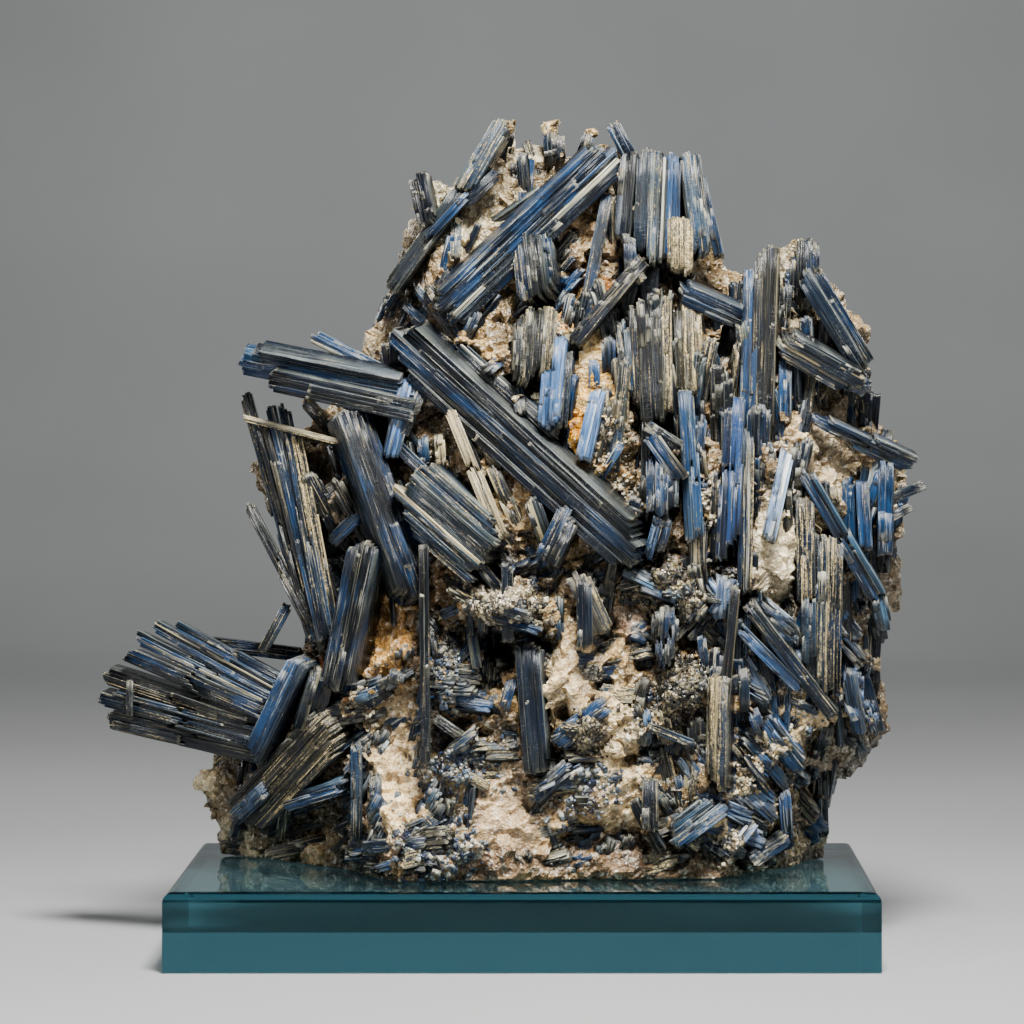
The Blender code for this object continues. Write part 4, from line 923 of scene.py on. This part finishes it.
def quartz_material(name, painted_glint, murk, glow):
    """Sugary broken quartz with painted glints, or with fewer of them the dull crust that covers it."""
    m = Shader(name)
    spot = m.new("TexCoord").outputs["Object"]

    def cells(scale):
        v = m.new("TexVoronoi", Scale=scale, Randomness=1.0)
        m.feed(spot, v.inputs["Vector"])
        grey = m.new("RGBToBW")
        m.feed(v.outputs["Color"], grey.inputs[0])
        return v.outputs["Distance"], grey.outputs[0]

    coarse_d, coarse = cells(300.0)
    fine_d, fine = cells(760.0)
    col = m.new("Attribute", attribute_name="tint").outputs["Color"]
    dark = m.ramp(m.noise(spot, 55.0, 5.0, 0.6), (0.36, 1.0), (0.47, 0.0))
    col = m.mix(m.times(dark, murk), col, linear((104, 82, 60)))
    # painted glints: near-white spots mixed into the colour that stand for highlights
    light = m.mask(m.noise(spot, 260.0, 4.0, 0.7), 0.54, 0.64)
    col = m.mix(m.times(light, painted_glint), col, linear((255, 246, 230)))
    for grey, low, high in ((coarse, 0.50, 1.28), (fine, 0.62, 1.28)):
        col = m.mix(0.75, col, m.ramp(grey, (0.15, low), (0.75, high)), "MULTIPLY")
    m.feed(col, m.body.inputs["Base Color"])
    m.feed(m.plus(m.times(fine, 0.5), 0.12), m.body.inputs["Roughness"])
    m.bump(m.plus(coarse_d, m.times(fine_d, 0.8), m.times(fine, 0.6)), 0.8, 0.0011)
    m.body.inputs["Subsurface Weight"].default_value = glow
    m.body.inputs["Subsurface Radius"].default_value = (0.004, 0.003, 0.002)
    m.body.inputs["Subsurface Scale"].default_value = 1.0
    m.body.inputs["IOR"].default_value = 1.54
    return m.material


def acrylic_material():
    m = Shader("clear_acrylic")
    haze = m.noise(m.new("TexCoord").outputs["Object"], 22.0, 4.0)
    m.feed(m.ramp(haze, (0.35, 0.0), (0.8, 0.035)), m.body.inputs["Roughness"])
    m.body.inputs["Base Color"].default_value = (0.93, 0.985, 0.99, 1.0)
    m.body.inputs["Transmission Weight"].default_value = 1.0
    m.body.inputs["Specular Tint"].default_value = (0.30, 0.50, 0.55, 1.0)
    m.body.inputs["IOR"].default_value = 1.49
    vol = m.new("VolumeAbsorption")
    vol.inputs["Color"].default_value = (0.22, 0.66, 0.75, 1.0)
    vol.inputs["Density"].default_value = 13.5
    m.feed(vol.outputs[0], m.out.inputs["Volume"])
    return m.material


def floor_material():
    m = Shader("pale_floor")
    mottle = m.noise(m.new("TexCoord").outputs["Object"], 3.0, 3.0)
    colour = m.ramp(mottle, (0.3, (0.29, 0.30, 0.31)), (0.7, (0.32, 0.33, 0.34)))
    m.feed(colour, m.body.inputs["Base Color"])
    m.body.inputs["Roughness"].default_value = 0.6
    return m.material


kyanite = kyanite_material()
quartz = quartz_material("quartz", 0.42, 0.6, 0.30)
crust_stone = quartz_material("crust", 0.12, 0.3, 0.0)
acrylic = acrylic_material()


# ---- the rock ---------------------------------------------------------------
ROCK_VOXEL = 0.0023
# size, salt, slope and step of the large facets, the small ones and the patches
LARGE_FACETS = (13.0, 5, 0.40, 1.8)
SMALL_FACETS = (6.0, 9, 0.34, 0.45)
PATCH_FACETS = (24.0, 3, 0.3, 0.5)
ROCK_GRIT = 0.12
# y at which the far side's finish begins, and the depth over which the display
# side's has passed into it
FRONT_BLEND = (40.0, 60.0)
LUMP_RISE, HOLLOW_DEPTH = 1.4, 1.5
FOOT_GAP = 0.4
ROCK_TONE = linear((176, 148, 108))
ROCK_FILTER = np.array([1.0, 0.945, 0.76])
BACK_PALE, BACK_DARK, BACK_TONE = (linear(c) for c in
                                   ((224, 212, 188), (84, 72, 58), (176, 152, 116)))
BACK_SHARE = 0.7


def hashed(cells, salt):
    """Seven repeatable numbers in 0..1 for each integer cell."""
    c = cells.astype(np.uint64)
    h = (c[..., 0] * np.uint64(73856093)) ^ (c[..., 1] * np.uint64(19349663)) \
        ^ (c[..., 2] * np.uint64(83492791)) ^ np.uint64(salt * 2654435761 % (1 << 32))
    out = []
    for k in range(7):
        h = (h ^ (h >> np.uint64(13))) * np.uint64(0x9E3779B97F4A7C15)
        h = h ^ (h >> np.uint64(29))
        out.append((h & np.uint64(0xFFFFFF)).astype(np.float64) / float(0xFFFFFF))
    return np.stack(out, -1)


def facets(p, size, salt, slope, step):
    """Height of flat broken faces: one tilted plane per cell of the rock."""
    g = p / size
    base = np.floor(g).astype(np.int64)
    best = np.full(len(p), 1e9)
    value, tone = np.zeros(len(p)), np.zeros(len(p))
    near = (-1, 0, 1)
    for shift in [(x, y, z) for x in near for y in near for z in near]:
        cell = base + np.array(shift)
        h = hashed(cell + 4096, salt)
        diff = g - (cell + h[:, :3])
        dist = (diff ** 2).sum(-1)
        grad = (h[:, 3:6] - 0.5) * 2.0 * slope
        v = (diff * grad).sum(-1) * size + (h[:, 6] - 0.5) * 2.0 * step
        hit = dist < best
        best = np.where(hit, dist, best)
        value = np.where(hit, v, value)
        tone = np.where(hit, h[:, 6], tone)
    return value, tone


def vectors(me, label):
    flat = np.zeros(len(me.vertices) * 3, np.float32)
    me.vertices.foreach_get(label, flat)
    return flat.reshape(-1, 3).astype(np.float64)


source = bpy.data.objects["quartz_matrix"]
rock = source.copy()
rock.data = source.data.copy()
rock.name = "quartz_rock"
rock.animation_data_clear()
bpy.context.scene.collection.objects.link(rock)
mod = rock.modifiers.new("remesh", "REMESH")
mod.mode = "VOXEL"
mod.voxel_size = ROCK_VOXEL
deps = bpy.context.evaluated_depsgraph_get()
fine_mesh = bpy.data.meshes.new_from_object(rock.evaluated_get(deps))
rock.modifiers.clear()
rock.data = fine_mesh
co = vectors(fine_mesh, "co") * 1000.0
nor = vectors(fine_mesh, "normal")
v1, t1 = facets(co, *LARGE_FACETS)
v2, t2 = facets(co, *SMALL_FACETS)
_, t3 = facets(co, *PATCH_FACETS)
lift = np.clip(v1, -4, 3) + np.clip(v2, -2, 1.6) - 1.6
grit = np.random.RandomState(7).uniform(-ROCK_GRIT, ROCK_GRIT, co.shape)
moved = co + nor * lift[:, None] + grit
sx, sz = sheet_xz(co)
front = np.clip((FRONT_BLEND[0] - co[:, 1]) / FRONT_BLEND[1], 0, 1)
facing = front * np.clip(-nor[:, 1] * 2.0, 0, 1)
for *shape, stand, _, _, _ in LUMPS:
    q = oval(sx, sz, *shape)
    moved[:, 1] -= LUMP_RISE * stand * np.exp(-1.6 * q * q) * facing
for *shape, depth in HOLLOWS:
    q = oval(sx, sz, *shape) + (t2 - 0.5) * 0.6
    moved[:, 1] += HOLLOW_DEPTH * depth * np.exp(-1.2 * np.clip(q, 0, 9) ** 1.5) * facing
low_z = BASE_HEIGHT + FOOT_GAP
moved[:, 2] = np.where(co[:, 2] < BASE_HEIGHT + 2.0, np.maximum(co[:, 2], low_z),
                       np.maximum(moved[:, 2], low_z))


def washed(tint, colour, share):
    """The tint with a share of another colour over it."""
    return tint * (1 - share[:, None]) + linear(colour)[None] * share[:, None]


tint = ROCK_TONE[None] * ((0.40 + 0.75 * t1) * (0.25 + 0.85 * t3))[:, None]
for *shape, rgb, strength in ROCK_ZONES:
    q = oval(sx, sz, *shape)
    tint = washed(tint, rgb, np.clip(1.5 - q + (t2 - 0.5) * 0.8, 0, 1) * strength * front)
far = (1.0 - front)[:, None]
patch = np.where(t3[:, None] > 0.62, BACK_PALE,
                 np.where(t3[:, None] < 0.22, BACK_DARK, BACK_TONE))
tint = tint * (1 - BACK_SHARE * far) + patch * (0.5 + 0.7 * t1[:, None]) * BACK_SHARE * far
for cx, cz, r, rgb, strength in STAINS:
    q = oval(sx, sz, cx, cz, r, r)
    tint = washed(tint, rgb, np.clip(1.6 - q + (t2 - 0.5), 0, 1) * strength * front)
tint *= (0.95 + 0.40 * t2)[:, None]
rock_tint = np.clip(tint * ROCK_FILTER, 0, 1)
# painted light and shade: the rock is painted lighter where it faces up and darker where it faces down
rock_tint *= np.clip(0.80 + 0.5 * nor[:, 2], 0.3, 1.15)[:, None]
rock_points = np.clip(moved, BOX_LOW / MM, BOX_HIGH / MM)
fine_mesh.vertices.foreach_set("co", (rock_points * MM).astype(np.float32).ravel())
fine_mesh.materials.clear()
fine_mesh.materials.append(quartz)
for poly in fine_mesh.polygons:
    poly.use_smooth = False
fine_mesh.update()
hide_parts("quartz_matrix")
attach(rock, "root")

# ---- the named blades -------------------------------------------------------
BLADE_SEED = 100
SMALL_SEED = 900
THICKET_SEED = 2024
CLUMP_SALT = 31
CRUST_SEED = 500
piles = []
seed = BLADE_SEED
for name, rows in BLADES.items():
    pile = Pile()
    for row in rows:
        seed += 1
        dress_row(pile, row, seed, name.startswith("back_"))
    piles.append((pile, name + "_crystals", kyanite, "kyanite", name))

# ---- small blades grown into the rock ---------------------------------------
BEFORE_ALL, BEHIND_ALL = -160.0, 120.0


def skin(me):
    """What a ray can be cast at, from a mesh."""
    shape = bmesh.new()
    shape.from_mesh(me)
    tree = BVHTree.FromBMesh(shape)
    shape.free()
    return tree


def skin_y(tree, x, z):
    """Depth at which the line of a sheet point meets a skin, or None."""
    p, q = place(x, z, BEFORE_ALL) * MM, place(x, z, BEHIND_ALL) * MM
    spot = tree.ray_cast(p, (q - p).normalized())[0]
    return None if spot is None else spot.y / MM


solid_skin = skin(source.data)
rock_skin = skin(fine_mesh)
pile = Pile()
for i, (xa, za, xb, zb, w, t, da, db, look) in enumerate(SMALL_BLADES):
    ya, yb = skin_y(solid_skin, xa, za), skin_y(solid_skin, xb, zb)
    if ya is None and yb is None:
        continue
    ya, yb = (yb if ya is None else ya), (ya if yb is None else yb)
    a, b = place(xa, za, ya + da * 0.4), place(xb, zb, yb + db * 0.4)
    side, face = blade_axes(a, b, 0, TOWARD_FRONT)
    dress_blade(pile, a, b, side, face, w, w, t, look, random.Random(SMALL_SEED + i))
piles.append((pile, "small_blades", kyanite, "kyanite", None))

# places that thicket blades leave bare, and how strongly
BARE = [(1.0, row[:4]) for row in ROCK_ZONES[:22]]
BARE += [(0.4, row[:4]) for row in ROCK_ZONES[-3:]]
BARE += [(0.5, row[:4]) for row in HOLLOWS]
# the part of a thicket blade behind its place, and the share that points up
ROOTED, UPWARD = 0.45, 0.8
# degrees by which one blade leaves its clump's lean, and stands out of the rock
LEAN_STRAY, OUT_LEAN, OUT_STRAY = 5.0, 5, 9
rng = random.Random(THICKET_SEED)
for k, zone in enumerate(THICKETS):
    x0, z0, x1, z1, count, lean, spread, lengths, widths, looks, size = zone
    pile = Pile()
    made = tries = 0
    while made < count and tries < count * 8:
        tries += 1
        x, z = rng.uniform(x0, x1), rng.uniform(z0, z1)
        if not inside(x, z, MATRIX_OUTLINE):
            continue
        y = skin_y(rock_skin, x, z)
        if y is None:
            continue
        bare = max(0.0, max(most - oval(x, z, *shape) for most, shape in BARE))
        turn, kind, crowd = clump(x, z, size, CLUMP_SALT + k)
        if rng.random() < bare * 1.6 or rng.random() > 0.35 + crowd:
            continue
        length = rng.uniform(*lengths)
        width = rng.uniform(*widths)
        angle = math.radians(lean + (turn * 2.0 - 1.0) * spread * 1.4 + rng.gauss(0, LEAN_STRAY))
        out = math.radians(rng.gauss(OUT_LEAN, OUT_STRAY))
        way = 1 if kind < UPWARD else -1
        d = Vector((math.sin(angle) * math.cos(out) * way, -math.sin(abs(out)),
                    math.cos(angle) * math.cos(out) * way))
        deep = min(width * rng.uniform(0.5, 0.9), 6.0)
        c = place(x, z, y + deep * 0.15)
        a = c - d * length * ROOTED + Vector((0, 1.5, 0))
        b = c + d * length * (1 - ROOTED)
        ends = [sheet_xz(np.array([p])) for p in (a, b)]
        if min(a.z, b.z) < BASE_HEIGHT + 3 or not all(
                inside(px[0], pz[0], MATRIX_OUTLINE) for px, pz in ends):
            continue
        side, face = blade_axes(a, b, rng.uniform(-40, 40), TOWARD_FRONT)
        look = looks[int(kind * len(looks) * 0.999)] if rng.random() < 0.6 else rng.choice(looks)
        dress_blade(pile, a, b, side, face, width, width * rng.uniform(0.55, 1.0), deep,
                    look, rng, ragged=1.5, fine=0.8)
        made += 1
    piles.append((pile, "thicket_%02d" % (k + 1), kyanite, "kyanite", None))

# ---- granular crust ---------------------------------------------------------
pile = Pile()
for k, (cx, cz, rx, rz, stand, count, size, colours) in enumerate(LUMPS):
    rng = random.Random(CRUST_SEED + k)
    for _ in range(count):
        x, z = cx + rng.gauss(0, 0.55) * rx, cz + rng.gauss(0, 0.55) * rz
        y = skin_y(rock_skin, x, z)
        if y is not None and z > BASE_HEIGHT + 2:
            crumb(pile, place(x, z, y + rng.uniform(-0.3, 0.5) * size), size, colours, rng)
piles.append((pile, "granular_crust", crust_stone, "quartz", None))

# ---- the pieces, with painted shade where they lie deep ---------------------
envelope = front_envelope([pile.points() for pile, *_ in piles] + [rock_points])
# painted shade on the rock where it lies deep
store(fine_mesh, "tint", rock_tint * (0.3 + 0.7 * painted_recess_shade(rock_points, envelope))[:, None])
for pile, name, mat, slot, whole in piles:
    piece = pile.build(name, mat, envelope)
    if whole:
        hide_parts(whole)
    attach(piece, "root")

# ---- block, floor, light and camera -----------------------------------------
base = bpy.data.objects["acrylic_base"]
for base_slot in base.material_slots:
    base_slot.material = acrylic

# a pale sheet that lies flat and curves up far behind the object, in metres
SWEEP_FRONT = -5.0
SWEEP_FLAT = 1.7
SWEEP_RADIUS = 1.1
SWEEP_TOP = 4.5
SWEEP_HALF = 6.0
SWEEP_STEPS = 16
profile = [(SWEEP_FRONT, 0.0), (-1.0, 0.0), (0.5, 0.0)]
for k in range(SWEEP_STEPS + 1):
    turn = math.radians(90.0 * k / SWEEP_STEPS)
    profile.append((SWEEP_FLAT + SWEEP_RADIUS * math.sin(turn),
                    SWEEP_RADIUS * (1.0 - math.cos(turn))))
profile.append((SWEEP_FLAT + SWEEP_RADIUS, SWEEP_TOP))
corners = [(side * SWEEP_HALF, y, z) for y, z in profile for side in (-1, 1)]
quads = [(2 * k, 2 * k + 1, 2 * k + 3, 2 * k + 2) for k in range(len(profile) - 1)]
me = bpy.data.meshes.new("floor")
me.from_pydata(corners, [], quads)
for poly in me.polygons:
    poly.use_smooth = True
floor = bpy.data.objects.new("floor", me)
floor.location = (0, 0, -0.0005)
me.materials.append(floor_material())
bpy.context.scene.collection.objects.link(floor)

world = bpy.data.worlds.new("studio")
bpy.context.scene.world = world
world.use_nodes = True
wt = world.node_tree
wt.nodes["Background"].inputs["Color"].default_value = (0.024, 0.026, 0.028, 1.0)
wt.nodes["Background"].inputs["Strength"].default_value = 1.0


def area(name, where, aim, size, power, colour, spread=180.0):
    light = bpy.data.lights.new(name, "AREA")
    light.shape = "RECTANGLE"
    light.size, light.size_y = size
    light.energy = power
    light.color = colour
    light.spread = math.radians(spread)
    ob = bpy.data.objects.new(name, light)
    ob.location = where
    ob.rotation_euler = (Vector(aim) - Vector(where)).to_track_quat("-Z", "Y").to_euler()
    bpy.context.scene.collection.objects.link(ob)


area("key_above", (0.14, -0.68, 1.25), (0.0, -0.02, 0.24), (0.34, 0.26), 72.0, (0.99, 0.98, 0.92))
area("key_left", (-1.05, -1.10, 0.80), (0.0, -0.05, 0.24), (0.22, 0.4), 8.0, (1.0, 0.98, 0.96))
area("key_right", (1.05, -1.05, 0.95), (0.05, 0.0, 0.24), (0.22, 0.4), 6.0, (0.97, 0.98, 1.0))
area("backdrop", (0.0, 1.1, 2.3), (0.0, 2.6, 0.5), (1.6, 0.3), 3.2, (0.95, 0.98, 1.0), 80.0)
area("back_right", (1.10, 0.95, 0.62), (0.0, 0.05, 0.30), (0.12, 0.3), 0.25, (1.0, 0.99, 0.96), 24.0)
area("back_left", (-1.10, 0.95, 0.62), (0.0, 0.05, 0.30), (0.12, 0.3), 0.25, (0.96, 0.98, 1.0), 24.0)

# the view of the display side, with the station's axis right of the middle of
# the picture and above it
SENSOR = 36.0
HALF_VIEW = 512.0
cam_data = bpy.data.cameras.new("camera")
cam_data.sensor_width = SENSOR
cam_data.lens = SENSOR * STATION_RANGE / HALF_VIEW
cam_data.shift_x = -0.0566
cam_data.shift_y = -0.1533
cam_data.clip_end = 50.0
cam = bpy.data.objects.new("camera", cam_data)
cam.location = (STATION_X * MM, (SHEET_Y - STATION_RANGE) * MM, STATION_Z * MM)
cam.rotation_euler = (math.radians(90.0), 0.0, 0.0)
bpy.context.scene.collection.objects.link(cam)
bpy.context.scene.camera = cam
